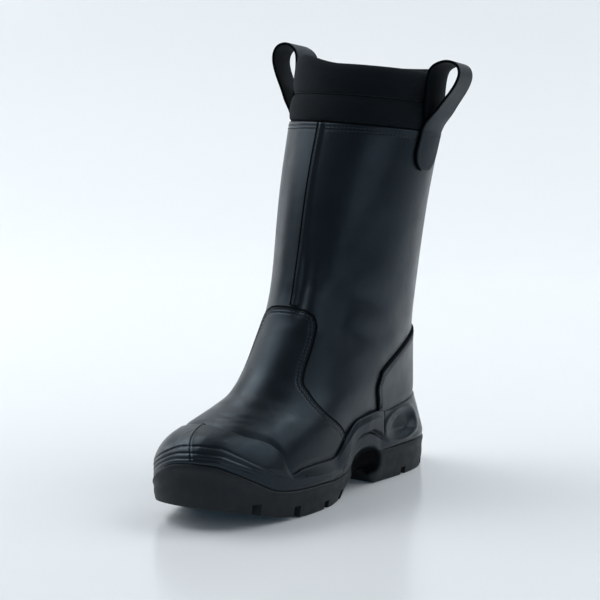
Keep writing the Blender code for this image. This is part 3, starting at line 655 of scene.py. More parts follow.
class Shader:
    """A material's node tree with short ways to add to it."""

    def __init__(self, name: str) -> None:
        """Starts a material with a Principled surface.

        Args:
            name: The material's name.
        """
        self.material = bpy.data.materials.new(name)
        self.material.use_nodes = True
        self.tree = self.material.node_tree
        self.surface = self.tree.nodes["Principled BSDF"]

    def add(self, kind: str, links: Optional[dict] = None, **settings: object) -> bpy.types.Node:
        """Adds a node.

        Args:
            kind: The node's type.
            links: For each input its value, or the socket that feeds it.
            settings: The node's own properties.

        Returns:
            The node.
        """
        node = self.tree.nodes.new(kind)
        for key, value in settings.items():
            setattr(node, key, value)
        for key, value in (links or {}).items():
            self.feed(node.inputs[key], value)
        return node

    def feed(self, socket: Socket, value: Input) -> None:
        """Sets an input to a value or links it to another socket."""
        if isinstance(value, Socket):
            self.tree.links.new(value, socket)
        else:
            socket.default_value = value

    def set(self, **inputs: Input) -> None:
        """Sets the surface's inputs, named with _ for each space."""
        for key, value in inputs.items():
            self.feed(self.surface.inputs[key.replace("_", " ")], value)

    def place(self) -> Socket:
        """Coordinates of the surface in metres."""
        return self.add("ShaderNodeTexCoord").outputs["Object"]

    def noise(self, at: Socket, scale: float, detail: float = 2.0) -> Socket:
        """Cloudy numbers from 0 to 1."""
        return self.add("ShaderNodeTexNoise", {"Vector": at, "Scale": scale, "Detail": detail}).outputs["Fac"]

    def span(self, value: Socket, low: float, high: float, to: Pair) -> Socket:
        """A number moved from the range between low and high to another range."""
        links = {"Value": value, "From Min": low, "From Max": high, "To Min": to[0], "To Max": to[1]}
        return self.add("ShaderNodeMapRange", links).outputs["Result"]

    def soft_span(self, value: Socket, low: float, high: float) -> Socket:
        """A number that rises smoothly from 0 at one value to 1 at another."""
        links = {"Value": value, "From Min": low, "From Max": high}
        return self.add("ShaderNodeMapRange", links, interpolation_type="SMOOTHSTEP").outputs["Result"]

    def math(self, operation: str, first: Input, second: Input) -> Socket:
        """The result of a sum of two numbers."""
        return self.add("ShaderNodeMath", {0: first, 1: second}, operation=operation).outputs[0]

    def mix(self, share: Input, first: Input, second: Input) -> Socket:
        """A colour between two colours."""
        node = self.add("ShaderNodeMix", data_type="RGBA")
        for socket, value in ((node.inputs[0], share), (node.inputs[6], first), (node.inputs[7], second)):
            if isinstance(value, tuple):
                value = (*value, 1.0)
            self.feed(socket, value)
        return node.outputs[2]

    def mark(self, name: str) -> Socket:
        """A named number of the mesh."""
        return self.add("ShaderNodeAttribute", attribute_name=name).outputs["Fac"]

    def relief(self, height: Socket, depth: float, before: Optional[Socket] = None) -> Socket:
        """Normals that follow a height from 0 to 1 of a depth in metres."""
        node = self.add("ShaderNodeBump", {"Height": height, "Distance": depth, "Strength": 1.0})
        if before is not None:
            self.feed(node.inputs["Normal"], before)
        return node.outputs["Normal"]


@dataclass(frozen=True)
class LeatherFinish:
    """Smooth black leather with a satin topcoat and a fine grain, and dark dyed edges that also carry painted
    shade.
    """

    name: str
    colour: Colour = (0.0055, 0.0070, 0.0085)
    faded: Colour = (0.0100, 0.0122, 0.0142)
    edge_dye_and_shade: Colour = (0.0016, 0.0019, 0.0022)
    roughness: float = 0.40
    gloss: float = 0.40
    grain: float = 0.0009
    grain_depth: float = 0.00003
    ripple_depth: float = 0.00016
    ripple_scale: float = 95.0
    cloud_scale: float = 22.0
    smudge_scale: float = 70.0
    edge_roughness: float = 0.50

    def material(self) -> bpy.types.Material:
        """The node material of this leather."""
        shader = Shader(self.name)
        at = shader.place()
        cloud = shader.noise(at, self.cloud_scale, 3.0)
        tone = shader.span(cloud, 0.3, 0.72, (0.0, 1.0))
        # Marked edges: dark edge dye together with painted shade of the gaps beside them. The colour darkens,
        # the roughness rises and the gloss falls there.
        edge = shader.mark("edge_dye_and_shade")
        skin = shader.mix(tone, self.colour, self.faded)
        smudge = shader.noise(at, self.smudge_scale, 4.0)
        rough = shader.span(smudge, 0.25, 0.75, (self.roughness - 0.05, self.roughness + 0.06))
        rough = shader.math("ADD", rough, shader.math("MULTIPLY", edge, self.edge_roughness))
        cells = shader.add(
            "ShaderNodeTexVoronoi",
            {"Vector": at, "Scale": 1 / self.grain, "Smoothness": 0.6, "Randomness": 0.95},
            feature="SMOOTH_F1",
        ).outputs["Distance"]
        pores = shader.noise(at, 2.4 / self.grain, 2.0)
        ripple = shader.noise(at, self.ripple_scale, 2.0)
        fine = shader.relief(shader.math("ADD", cells, pores), self.grain_depth)
        shader.set(
            Base_Color=shader.mix(edge, skin, self.edge_dye_and_shade),
            Roughness=rough,
            Normal=shader.relief(ripple, self.ripple_depth, fine),
            Specular_IOR_Level=shader.span(edge, 0.0, 1.0, (self.gloss, 0.25 * self.gloss)),
            Specular_Tint=COOL_GLOSS,
        )
        return shader.material


@dataclass(frozen=True)
class MouldedFinish:
    """Moulded black sole material with a fine spark-eroded texture and painted shade in the arch's rounded
    cavity.
    """

    name: str
    colour: Colour
    bright: Colour
    roughness: float
    texture: float = 0.0007
    texture_depth: float = 0.00003
    # Painted shade in the arch's rounded cavity: its reach along, up and beside, its dark colour and added
    # roughness. The gloss below also falls there.
    cavity_y: Pair = (0.0015, 0.0573)
    cavity_z: Pair = (0.0030, 0.0380)
    cavity_beside: Pair = (0.030, 0.037)
    cavity_painted_shade: Colour = (0.0014, 0.0017, 0.0019)
    cavity_shade_roughness: float = 0.4
    gloss: Pair = (0.40, 0.06)
    cloud_scale: float = 30.0
    flow_scale: float = 150.0
    tint: tuple[float, float, float, float] = COOL_GLOSS

    def painted_cavity_shade(self, shader: Shader, at: Socket) -> Socket:
        """1 where shade is painted in the rounded cavity of the arch and 0 elsewhere.

        Args:
            shader: The material's node tree.
            at: Coordinates of the surface.

        Returns:
            The number's socket.
        """
        split = shader.add("ShaderNodeSeparateXYZ", {"Vector": at}).outputs
        along = shader.span(split["Y"], *self.cavity_y, (-1.0, 1.0))
        up = shader.span(split["Z"], *self.cavity_z, (-1.0, 1.0))
        squares = [shader.math("MULTIPLY", value, value) for value in (along, up)]
        inside = shader.soft_span(shader.math("ADD", *squares), 0.95, 0.55)
        beside = shader.soft_span(shader.math("ABSOLUTE", split["X"], 0.0), *self.cavity_beside)
        return shader.math("MULTIPLY", inside, beside)

    def material(self) -> bpy.types.Material:
        """The node material of this sole layer."""
        shader = Shader(self.name)
        at = shader.place()
        cloud = shader.noise(at, self.cloud_scale, 4.0)
        skin = shader.mix(shader.span(cloud, 0.3, 0.7, (0.0, 1.0)), self.colour, self.bright)
        flow = shader.noise(at, self.flow_scale, 3.0)
        rough = shader.span(flow, 0.3, 0.7, (self.roughness - 0.06, self.roughness + 0.06))
        stipple = shader.noise(at, 1 / self.texture, 3.0)
        # Painted shade: the cavity is darker, rougher and less glossy, and stands for the shade of a deeper
        # hollow.
        cavity_shade = self.painted_cavity_shade(shader, at)
        shader.set(
            Base_Color=shader.mix(cavity_shade, skin, self.cavity_painted_shade),
            Roughness=shader.math("ADD", rough, shader.math("MULTIPLY", cavity_shade, self.cavity_shade_roughness)),
            Normal=shader.relief(stipple, self.texture_depth),
            Specular_IOR_Level=shader.span(cavity_shade, 0.0, 1.0, self.gloss),
            Specular_Tint=self.tint,
        )
        return shader.material


@dataclass(frozen=True)
class KnitFinish:
    """Matt black textile with rows of small loops."""

    name: str
    colour: Colour
    bright: Colour
    loop_width: float = 0.0015
    loop_height: float = 0.0012
    depth: float = 0.00022
    slant: float = 1.6
    fuzz: float = 0.6
    fuzz_scale: float = 2200.0
    cloud_scale: float = 40.0
    roughness: float = 0.92

    def material(self) -> bpy.types.Material:
        """The node material of this textile."""
        shader = Shader(self.name)
        at = shader.add("ShaderNodeTexCoord").outputs["UV"]
        split = shader.add("ShaderNodeSeparateXYZ", {"Vector": at})
        across = shader.math("MULTIPLY", split.outputs["X"], 2 * math.pi / self.loop_width)
        along = shader.math("MULTIPLY", split.outputs["Y"], 2 * math.pi / self.loop_height)
        columns = shader.math("ABSOLUTE", shader.math("SINE", across, 0.0), 0.0)
        slant = shader.math("ADD", along, shader.math("MULTIPLY", columns, self.slant))
        rows = shader.span(shader.math("SINE", slant, 0.0), -1.0, 1.0, (0.0, 1.0))
        loops = shader.math("MULTIPLY", columns, rows)
        place = shader.place()
        fuzz = shader.noise(place, self.fuzz_scale, 3.0)
        cloud = shader.noise(place, self.cloud_scale, 3.0)
        height = shader.math("ADD", loops, shader.math("MULTIPLY", fuzz, self.fuzz))
        shade = shader.math("MULTIPLY", shader.span(loops, 0.0, 1.0, (0.35, 1.0)), cloud)
        shader.set(
            Base_Color=shader.mix(shade, self.colour, self.bright),
            Roughness=self.roughness,
            Normal=shader.relief(height, self.depth),
            Specular_IOR_Level=0.20,
            Specular_Tint=COOL_GLOSS,
            Sheen_Weight=0.05,
            Sheen_Roughness=0.5,
        )
        return shader.material


@dataclass(frozen=True)
class ThreadFinish:
    """Waxed black sewing thread."""

    name: str
    colour: Colour = (0.0060, 0.0078, 0.0094)
    bright: Colour = (0.0220, 0.0270, 0.0310)
    fibre_scale: float = 4200.0
    fibre_depth: float = 0.00006

    def material(self) -> bpy.types.Material:
        """The node material of this thread."""
        shader = Shader(self.name)
        fibre = shader.noise(shader.place(), self.fibre_scale, 2.0)
        shader.set(
            Base_Color=shader.mix(fibre, self.colour, self.bright),
            Roughness=shader.span(fibre, 0.2, 0.8, (0.34, 0.52)),
            Normal=shader.relief(fibre, self.fibre_depth),
            Specular_Tint=COOL_GLOSS,
        )
        return shader.material


@dataclass(frozen=True)
class FloorFinish:
    """Pale smooth board of the studio, dim far in front, with a faint cool glow in its shadows."""

    name: str
    front: Colour
    colour: Colour = (0.935, 0.942, 0.940)
    dark: Colour = (0.17, 0.20, 0.235)
    dark_from: float = 0.70
    dark_to: float = 1.35
    glow: float = 0.05
    shade: Colour = (0.14, 0.26, 0.38)
    roughness: float = 0.22
    gloss: float = 0.35

    def material(self) -> bpy.types.Material:
        """The node material of the board."""
        shader = Shader(self.name)
        at = shader.place()
        ahead = shader.add("ShaderNodeVectorMath", {0: at, 1: self.front}, operation="DOT_PRODUCT")
        cloud = shader.noise(at, 1.5, 1.0)
        pale = shader.mix(cloud, self.colour, tuple(0.985 * c for c in self.colour))
        away = shader.soft_span(ahead.outputs["Value"], self.dark_from, self.dark_to)
        shader.set(
            Base_Color=shader.mix(away, pale, self.dark),
            Roughness=self.roughness,
            Specular_IOR_Level=self.gloss,
            Emission_Color=(*self.shade, 1.0),
            Emission_Strength=self.glow,
        )
        return shader.material


Finish = Union[LeatherFinish, MouldedFinish, KnitFinish, ThreadFinish]
LEATHER = LeatherFinish("boot_leather", roughness=0.33)
PANEL_LEATHER = LeatherFinish("vamp_leather", roughness=0.32, gloss=0.33)
COUNTER_LEATHER = LeatherFinish("heel_leather", roughness=0.33, gloss=0.33)
SEAM_LEATHER = LeatherFinish("lap_leather", roughness=0.36)
STRAP_LEATHER = LeatherFinish("loop_leather", roughness=0.54, grain=0.0007)
# Matt dark bead along the panels' cut edges: the edges' dye together with painted shadow of the gap.
EDGE_DYE_AND_SHADOW = LeatherFinish(
    "cut_edge", (0.0014, 0.0017, 0.0020), (0.0022, 0.0026, 0.0030), roughness=0.80, gloss=0.10
)
FOAM = MouldedFinish("sole_foam", (0.0052, 0.0064, 0.0074), (0.0078, 0.0093, 0.0106), 0.33)
RUBBER = MouldedFinish(
    "tread_compound", (0.0062, 0.0071, 0.0077), (0.0092, 0.0103, 0.0111), 0.58, tint=(0.80, 0.91, 1.0, 1.0)
)
KNIT = KnitFinish("collar_knit", (0.0028, 0.0039, 0.0050), (0.0088, 0.0116, 0.0144))
LINING = KnitFinish("lining_cloth", (0.0040, 0.0046, 0.0050), (0.0110, 0.0120, 0.0130), 0.0022, 0.0020)
FELT = KnitFinish("footbed_cloth", (0.0060, 0.0064, 0.0068), (0.0160, 0.0165, 0.0170), 0.0018, 0.0018)
THREAD = ThreadFinish("black_thread")


def dress(item: Piece, finish: Finish, replaced: Sequence[str] = ()) -> None:
    """Gives a piece its material and ties it to the frame.

    Args:
        item: The piece.
        finish: The finish that makes its material.
        replaced: Solids that the piece stands for.
    """
    material = bpy.data.materials.get(finish.name) or finish.material()
    item.data.materials.clear()
    item.data.materials.append(material)
    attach(item, BODY)
    if replaced:
        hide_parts(*replaced)
    log.info("%s: %d faces", item.name, len(item.data.polygons))


@dataclass(frozen=True)
class Thread:
    """Rows of sewn stitches, each a small rounded thread that dips into the leather at its ends."""

    pitch: float = 0.0033
    length: float = 0.0027
    radius: float = 0.00036
    slant: float = 0.10
    taper: float = 0.45
    lift: float = 0.55
    dip: float = 1.3
    sides: int = 6
    cuts: int = 4

    def one_stitch(self) -> tuple[Array, list[tuple[int, ...]]]:
        """Models one stitch along X with a radius and half-length of 1.

        Returns:
            Its points and its faces.
        """
        deselect()
        lying = (0, math.pi / 2, 0)
        bpy.ops.mesh.primitive_cylinder_add(vertices=self.sides, radius=1, depth=2, rotation=lying)
        item = bpy.context.object
        bpy.ops.object.transform_apply(location=False, rotation=True, scale=False)
        pick_edges(item, lambda a, b: a.x * b.x < 0)
        bpy.ops.mesh.subdivide(number_cuts=self.cuts)
        bpy.ops.object.mode_set(mode="OBJECT")
        mesh = item.data
        points = mesh_points(mesh)
        faces = [tuple(f.vertices) for f in mesh.polygons]
        bpy.data.objects.remove(item, do_unlink=True)
        bpy.data.meshes.remove(mesh)
        return points, faces

    def sew(self, name: str, runs: Sequence[Run]) -> Piece:
        """Copies the stitch along lines.

        Args:
            name: The piece's name.
            runs: The lines, each a row of stitches.

        Returns:
            One piece with all the stitches.
        """
        shape, faces = self.one_stitch()
        taper = 1 - self.taper * np.abs(shape[:, 0]) ** 3
        lift = self.radius * (self.lift - self.dip * shape[:, 0] ** 2)
        blocks = []
        for run in runs:
            gaps = np.linalg.norm(np.diff(run.points, axis=0), axis=1)
            length = np.concatenate([[0], np.cumsum(gaps)])
            count = int(length[-1] // self.pitch)
            middles = (np.arange(count) + 0.5) * length[-1] / count
            at = middles[:, None] + shape[None, :, 0] * self.length / 2
            points, normals, along = (
                np.stack([np.interp(at, length, rows[:, k]) for k in range(3)], axis=-1)
                for rows in (run.points, run.normals, np.gradient(run.points, axis=0))
            )
            side = normalised(np.cross(normals, along))
            across = self.radius * shape[:, 1] * taper + self.slant * self.length / 2 * shape[:, 0]
            height = self.radius * shape[:, 2] * taper + lift
            blocks.append((points + side * across[:, None] + normals * height[:, None]).reshape(-1, 3))
        points = np.concatenate(blocks)
        count = len(points) // len(shape)
        mesh = bpy.data.meshes.new(name)
        every = [tuple(v + k * len(shape) for v in face) for k in range(count) for face in faces]
        mesh.from_pydata(points.tolist(), [], every)
        item = bpy.data.objects.new(name, mesh)
        bpy.context.scene.collection.objects.link(item)
        weld(item, 1e-7)
        bpy.ops.object.shade_smooth()
        return item


# Distances from a panel's edge to its closest rows: the rounded cut edge, two sewn rows, and the flat beyond.
EDGE_ROWS = 0.001 * np.array(
    [0.0, 0.08, 0.3, 0.7, 1.2, 1.8, 2.3, 2.7, 3.1, 3.6, 4.3, 4.9, 5.3, 5.7, 6.3, 7.4, 9.0, 11.5, 15.0]
)


def both_halves(half: Array, sign: int = 1) -> Array:
    """Columns of a whole panel from those of one side; with sign -1 the first side's numbers are negated."""
    return np.concatenate([sign * half, half[:, -2::-1]], axis=1)


@dataclass(frozen=True)
class PanelBuild:
    """How a leather panel is cut and sewn on the upper."""

    last: Last
    thread: Thread
    thickness: float = 0.0014
    lowest: float = 0.00005
    gap: float = 0.00055
    edge_radius: float = 0.0009
    sewn_rows: tuple[float, ...] = (0.0027, 0.0053)
    sewn_depth: float = 0.00035
    sewn_width: float = 0.0006
    sewn_sink: float = 0.7
    bead_radius: float = 0.0010
    bead_share: float = 0.30
    bead_sides: int = 10

    def height(self, away: Array) -> Array:
        """How far the panel's face stands out at distances from its cut edge."""
        s = np.clip(away / self.edge_radius, 0, 1)
        face = self.lowest + (self.gap + self.thickness - self.lowest) * np.sqrt(1 - (1 - s) ** 2)
        for row in self.sewn_rows:
            face = face - self.sewn_depth * bump(row, self.sewn_width, away)
        return face

    def mesh(self, name: str, grid: Path, edge: Path, thin: Array) -> Piece:
        """Builds the panel as a closed piece.

        Args:
            name: The piece's name.
            grid: Levels and turns of its points, as rows by columns.
            edge: Its cut edge.
            thin: How much thinner it is at each point.

        Returns:
            The piece.
        """
        base = self.last.point(*grid)
        line = self.last.point(*edge)
        away = distance_to_line(base.reshape(-1, 3), line)[0].reshape(base.shape[:2])
        outside = self.last.shell(*grid, self.height(away) - thin)
        inside = self.last.shell(*grid, self.lowest / 2)
        # Edge dye and painted shade along the cut edge, which reach past its rounding onto the face.
        dye_and_shade = 1 - ease(0.9 * self.edge_radius, 1.9 * self.edge_radius, away)
        rings = np.concatenate([outside, inside[:, ::-1], outside[:, :1]], axis=1)
        hem = np.concatenate([inside, inside[:, ::-1], inside[:, :1]], axis=1)
        marks = np.concatenate([dye_and_shade, dye_and_shade[:, ::-1], dye_and_shade[:, :1]], axis=1)
        rings = np.concatenate([hem[:1], rings, hem[-1:]])
        marks = np.concatenate([marks[:1], marks, marks[-1:]])
        return wrapped_grid(name, rings, {"edge_dye_and_shade": marks})

    def bead(self, name: str, path: Path) -> Piece:
        """Builds the dark rounded bead along the panel's cut edge, which stands for the dyed raw edge and
        paints the shadow of the gap beside it.

        Args:
            name: The piece's name.
            path: The cut edge.

        Returns:
            The piece.
        """
        run = self.last.run(path, self.gap + self.bead_share * self.thickness)
        side = normalised(np.cross(run.normals, np.gradient(run.points, axis=0)))
        angle = np.linspace(0, 2 * np.pi, self.bead_sides, endpoint=False)
        across = side[:, None] * np.cos(angle)[:, None] + run.normals[:, None] * np.sin(angle)[:, None]
        rings = run.points[:, None] + self.bead_radius * across
        ends = [np.repeat(run.points[[k]], self.bead_sides, axis=0)[None] for k in (0, -1)]
        return wrapped_grid(name, closed(np.concatenate([ends[0], rings, ends[1]])))

    def sew_on(
        self, node: str, form: str, grid: Path, edge: Path, rows: Sequence[Path], thin: Array,
        finish: LeatherFinish, slot: Slot,
    ) -> None:
        """Builds the panel, the dark bead of its cut edge, which is partly painted shadow, and its stitches.

        Args:
            node: The solid that the panel stands for.
            form: What the panel is called in its piece's name.
            grid: Levels and turns of its points, as rows by columns.
            edge: Its cut edge.
            rows: Its sewn rows.
            thin: How much thinner it is at each point.
            finish: Its leather.
            slot: The record's material slot it belongs to; not used.
        """
        dress(self.mesh(f"{node}_{form}", grid, edge, thin), finish, [node])
        dress(self.bead(f"{node}_cut_edge", edge), EDGE_DYE_AND_SHADOW)
        out = self.gap + self.thickness - self.sewn_sink * self.sewn_depth
        runs = [self.last.run(row, out) for row in rows]
        dress(self.thread.sew(f"{node}_stitches", runs), THREAD)


@dataclass(frozen=True)
class Upper:
    """Vamp, quarters and shaft of one wall, open at the collar and underneath, with a sewn top edge."""

    last: Last
    thread: Thread
    wall: float = 0.0024
    columns: int = 200
    rows: int = 118
    edge_step: float = 0.0006
    edge_rows: int = 18
    sewn_rows: tuple[float, ...] = (0.0028, 0.0056)
    sewn_depth: float = 0.0003
    sewn_width: float = 0.0006
    sewn_sink: float = 0.6
    edge_drop: float = 0.0004
    edge_round: float = 0.0010
    rim: tuple[Profile, ...] = table(Profile, (-0.0007, 0.0003), (-0.0012, 0.0004), (-0.0018, 0.0003))
    inner_rows: int = 40
    lining_gap: float = 0.0004
    lining_thickness: float = 0.0008
    lining_from: float = 0.42
    lining_below_top: float = 0.28
    lining_rows: int = 60

    @property
    def level_length(self) -> float:
        """Metres along the shaft for one level at its top."""
        up = self.last.tangents(np.array([self.last.top - 0.1]), np.array([math.pi / 2]))[0]
        return float(np.linalg.norm(up))

    def build(self) -> None:
        """Builds the leather, its lining and the stitches of its top edge."""
        turns = np.linspace(0, 2 * np.pi, self.columns, endpoint=False)
        band = self.edge_step * self.edge_rows
        low = np.linspace(0, self.last.top - band / self.level_length, self.rows, endpoint=False)
        down = np.arange(self.edge_rows, -1, -1) * self.edge_step
        levels = np.concatenate([low, self.last.top - down / self.level_length])
        away = np.concatenate([np.full(low.shape, 1.0), down])
        groove = sum(self.sewn_depth * bump(row, self.sewn_width, away) for row in self.sewn_rows)
        groove = groove + self.edge_drop * (1 - ease(0, self.edge_round, away))
        outer = self.last.shell(levels[:, None], turns, -groove[:, None])
        rim = np.array([self.last.top_point(turns, *point) for point in self.rim])
        inner_levels = np.linspace(self.last.top, 0, self.inner_rows)
        inner = self.last.shell(inner_levels[:, None], turns, -self.wall)
        rings = np.concatenate([outer, rim, inner, outer[:1]])
        dye_and_shade = np.zeros(rings.shape[:2])
        dye_and_shade[len(outer) - 1 : len(outer) + len(rim) + 1] = 1.0
        item = wrapped_grid("upper_leather", closed(rings), {"edge_dye_and_shade": closed(dye_and_shade)})
        dress(item, LEATHER, ["upper"])
        self.build_lining(turns)
        runs = []
        for row in self.sewn_rows:
            around = np.linspace(0, 2 * np.pi, ROUND_POINTS)
            path = Path(np.full(around.shape, self.last.top - row / self.level_length), around)
            runs.append(self.last.run(path, -self.sewn_sink * self.sewn_depth))
        dress(self.thread.sew("top_edge_stitches", runs), THREAD)

    def build_lining(self, turns: Array) -> None:
        """Builds the cloth inside the leather, from the footbed to the collar.

        Args:
            turns: Turns of its columns.
        """
        end = self.last.top - self.lining_below_top
        levels = np.linspace(self.lining_from, end, self.lining_rows)[:, None]
        face = -self.wall - self.lining_gap
        outer = self.last.shell(levels, turns, face)
        inner = self.last.shell(levels[::-1], turns, face - self.lining_thickness)
        rings = np.concatenate([outer, inner, outer[:1]])
        item = wrapped_grid("shaft_lining", closed(rings), cloth_size=(0.36, 0.60))
        dress(item, LINING)


# Top edge of the moulded sole: toe bumper, notch, hump, arch band, heel cup.
MIDSOLE_CROWN = table(
    Edge,
    (0, 3), (14, 2.85), (28, 2.46), (43, 2.02), (50, 1.6), (57.5, 0.62), (62, 0.77),
    (70, 0.81), (82, 0.7), (88, 1.38), (95.5, 1.92), (106, 1.97), (120, 1.62),
    (134, 1.63), (155, 1.7), (180, 1.75),
)


def near_sole(levels: Array, turns: Array, reach: float) -> Array:
    """1 at the moulded sole's top edge, falling to 0 at a reach above it."""
    return 1 - ease(0.0, reach, levels - edge_level(MIDSOLE_CROWN, turns))


def panel_columns(inner: int) -> list[Pair]:
    """Columns of half a panel: distance from its edge, and share of the width left to the middle line."""
    return [(inset, 1.0) for inset in EDGE_ROWS] + [(EDGE_ROWS[-1], s) for s in np.linspace(1, 0, inner)[1:]]


@dataclass(frozen=True)
class Vamp:
    """The vamp panel with its tongue-shaped top, over the front of the upper."""

    last: Last
    panel: PanelBuild
    side_edge: tuple[Edge, ...] = table(
        Edge,
        (91, 0.47), (87.5, 1.5), (68, 3.1), (48, 4.35), (37, 5), (34.5, 5.48),
        (34, 5.92), (32, 6.47), (27, 6.77), (18, 6.92),
    )
    top: float = 6.98
    top_round: float = 0.06
    top_half_turn: float = radians(18)
    tuck: float = 0.05
    inner_columns: int = 44
    inner_rows: int = 92
    thinner_at_sole: float = 0.0011
    thin_reach: float = 0.4

    def side_path(self) -> Path:
        """The left side's edge from the sole to the tongue's corner."""
        level = np.linspace(0.2, self.top - self.top_round, 400)
        turn = edge_turn(self.side_edge, level)
        shown = level > edge_level(MIDSOLE_CROWN, turn) - self.tuck
        return Path(level[shown], turn[shown])

    def edge_path(self) -> Path:
        """The whole cut edge: up the left side, over the tongue's top and down the right side."""
        side = self.side_path()
        across = np.linspace(1, -1, 60)[1:-1]
        level = np.concatenate([side.level, self.top - self.top_round * across**2, side.level[::-1]])
        turn = np.concatenate([side.turn, self.top_half_turn * across, -side.turn[::-1]])
        return Path(level, turn)

    def column_turn(self, inset: float, share: float, level: Array) -> Array:
        """Turn of one column at the levels given.

        Args:
            inset: Distance of the column from the side edge.
            share: Share of the remaining half-width, 1 beside the edge and 0 on the middle line.
            level: Levels to read.

        Returns:
            Turns on the left side.
        """
        edge = edge_turn(self.side_edge, level)
        around = np.linalg.norm(self.last.tangents(level, edge)[1], axis=-1)
        return np.maximum(edge - inset / around, 0) * share

    def grid(self) -> Path:
        """Levels and turns of the panel's points, as rows by columns."""
        fine = np.linspace(0.2, self.top, 900)
        level_length = float(np.linalg.norm(self.last.tangents(np.array([6.9]), np.array([0.0]))[0]))
        levels, turns = [], []
        for inset, share in panel_columns(self.inner_columns):
            turn = self.column_turn(inset, share, fine)
            clear = fine - edge_level(MIDSOLE_CROWN, turn) + self.tuck
            start = fine[np.nonzero(clear < 0)[0][-1] + 1]
            corner = turn[-1] / self.top_half_turn
            end = self.top - self.top_round * corner**2
            near = end - EDGE_ROWS / level_length
            low = np.linspace(start, near[-1], self.inner_rows, endpoint=False)
            level = np.concatenate([low, near[::-1]])
            levels.append(level)
            turns.append(np.interp(level, fine, turn))
        return Path(both_halves(np.array(levels).T), both_halves(np.array(turns).T, -1))

    def build(self) -> None:
        """Builds the panel with its two sewn rows."""
        grid, edge = self.grid(), self.edge_path()
        rows = [self.last.beside(edge, row) for row in self.panel.sewn_rows]
        thin = self.thinner_at_sole * near_sole(*grid, self.thin_reach)
        self.panel.sew_on("vamp", "panel", grid, edge, rows, thin, PANEL_LEATHER, Slot.VAMP)


@dataclass(frozen=True)
class HeelCounter:
    """The counter panel round the heel."""

    last: Last
    panel: PanelBuild
    top_edge: tuple[Edge, ...] = table(
        Edge,
        (99, 4.37), (104.5, 4.65), (114.5, 4.97), (124, 5.17), (140, 5.35), (180, 5.5),
    )
    front_edge: tuple[Edge, ...] = table(
        Edge,
        (112, 1.5), (107.5, 2.58), (101, 3.63), (99, 4.37),
    )
    tuck: float = 0.05
    level_length: float = 0.036
    turn_length: float = 0.047
    inner_columns: int = 40
    inner_rows: int = 46
    thinner_at_sole: float = 0.0005
    thin_reach: float = 0.5

    def edge_path(self) -> Path:
        """The whole cut edge: up the left front, round the back along the top, and down the right front."""
        low = np.linspace(1.2, self.front_edge[-1].level, 150)
        front = edge_turn(self.front_edge, low)
        shown = low > edge_level(MIDSOLE_CROWN, front) - self.tuck
        low, front = low[shown], front[shown]
        back = np.linspace(front[-1], np.pi, 160)[1:]
        level = np.concatenate([low, edge_level(self.top_edge, back)])
        turn = np.concatenate([front, back])
        level = np.concatenate([level, level[-2::-1]])
        turn = np.concatenate([turn, 2 * np.pi - turn[-2::-1]])
        return Path(self.softened(level), self.softened(turn))

    @staticmethod
    def softened(values: Array) -> Array:
        """A line's numbers with its corners rounded."""
        for _ in range(24):
            inner = (values[:-2] + 2 * values[1:-1] + values[2:]) / 4
            values = np.concatenate([values[:1], inner, values[-1:]])
        return values

    def grid(self) -> Path:
        """Levels and turns of the panel's points, as rows by columns."""
        levels, turns = [], []
        rows = self.inner_rows + len(EDGE_ROWS)
        for inset, share in panel_columns(self.inner_columns):
            level = np.linspace(2.0, 5.0, rows)
            for _ in range(30):
                front = edge_turn(self.front_edge, level) + inset / self.turn_length
                turn = np.pi - (np.pi - front) * share
                start = edge_level(MIDSOLE_CROWN, turn) - self.tuck
                end = edge_level(self.top_edge, turn)
                near = end[:, None] - EDGE_ROWS[None, ::-1] / self.level_length
                rise = np.linspace(0, 1, self.inner_rows, endpoint=False)
                foot = start[: self.inner_rows]
                low = foot + rise * (near[: self.inner_rows, 0] - foot)
                high = np.diagonal(near[self.inner_rows :])
                level = (level + np.concatenate([low, high])) / 2
            levels.append(level)
            turns.append(turn)
        turn = np.array(turns).T
        whole = np.concatenate([turn, 2 * np.pi - turn[:, -2::-1]], axis=1)
        return Path(both_halves(np.array(levels).T), whole)

    def build(self) -> None:
        """Builds the panel with its two sewn rows."""
        grid, edge = self.grid(), self.edge_path()
        rows = [self.last.beside(edge, -row) for row in self.panel.sewn_rows]
        thin = self.thinner_at_sole * near_sole(*grid, self.thin_reach)
        self.panel.sew_on("heel_counter", "panel", grid, edge, rows, thin, COUNTER_LEATHER, Slot.COUNTER)


# The lap is thinner than the panels, with one row of stitches.
LAP_SIZES = {
    "thickness": 0.0010,
    "edge_radius": 0.0006,
    "sewn_rows": (0.0015,),
    "sewn_depth": 0.00025,
    "sewn_sink": 0.6,
}


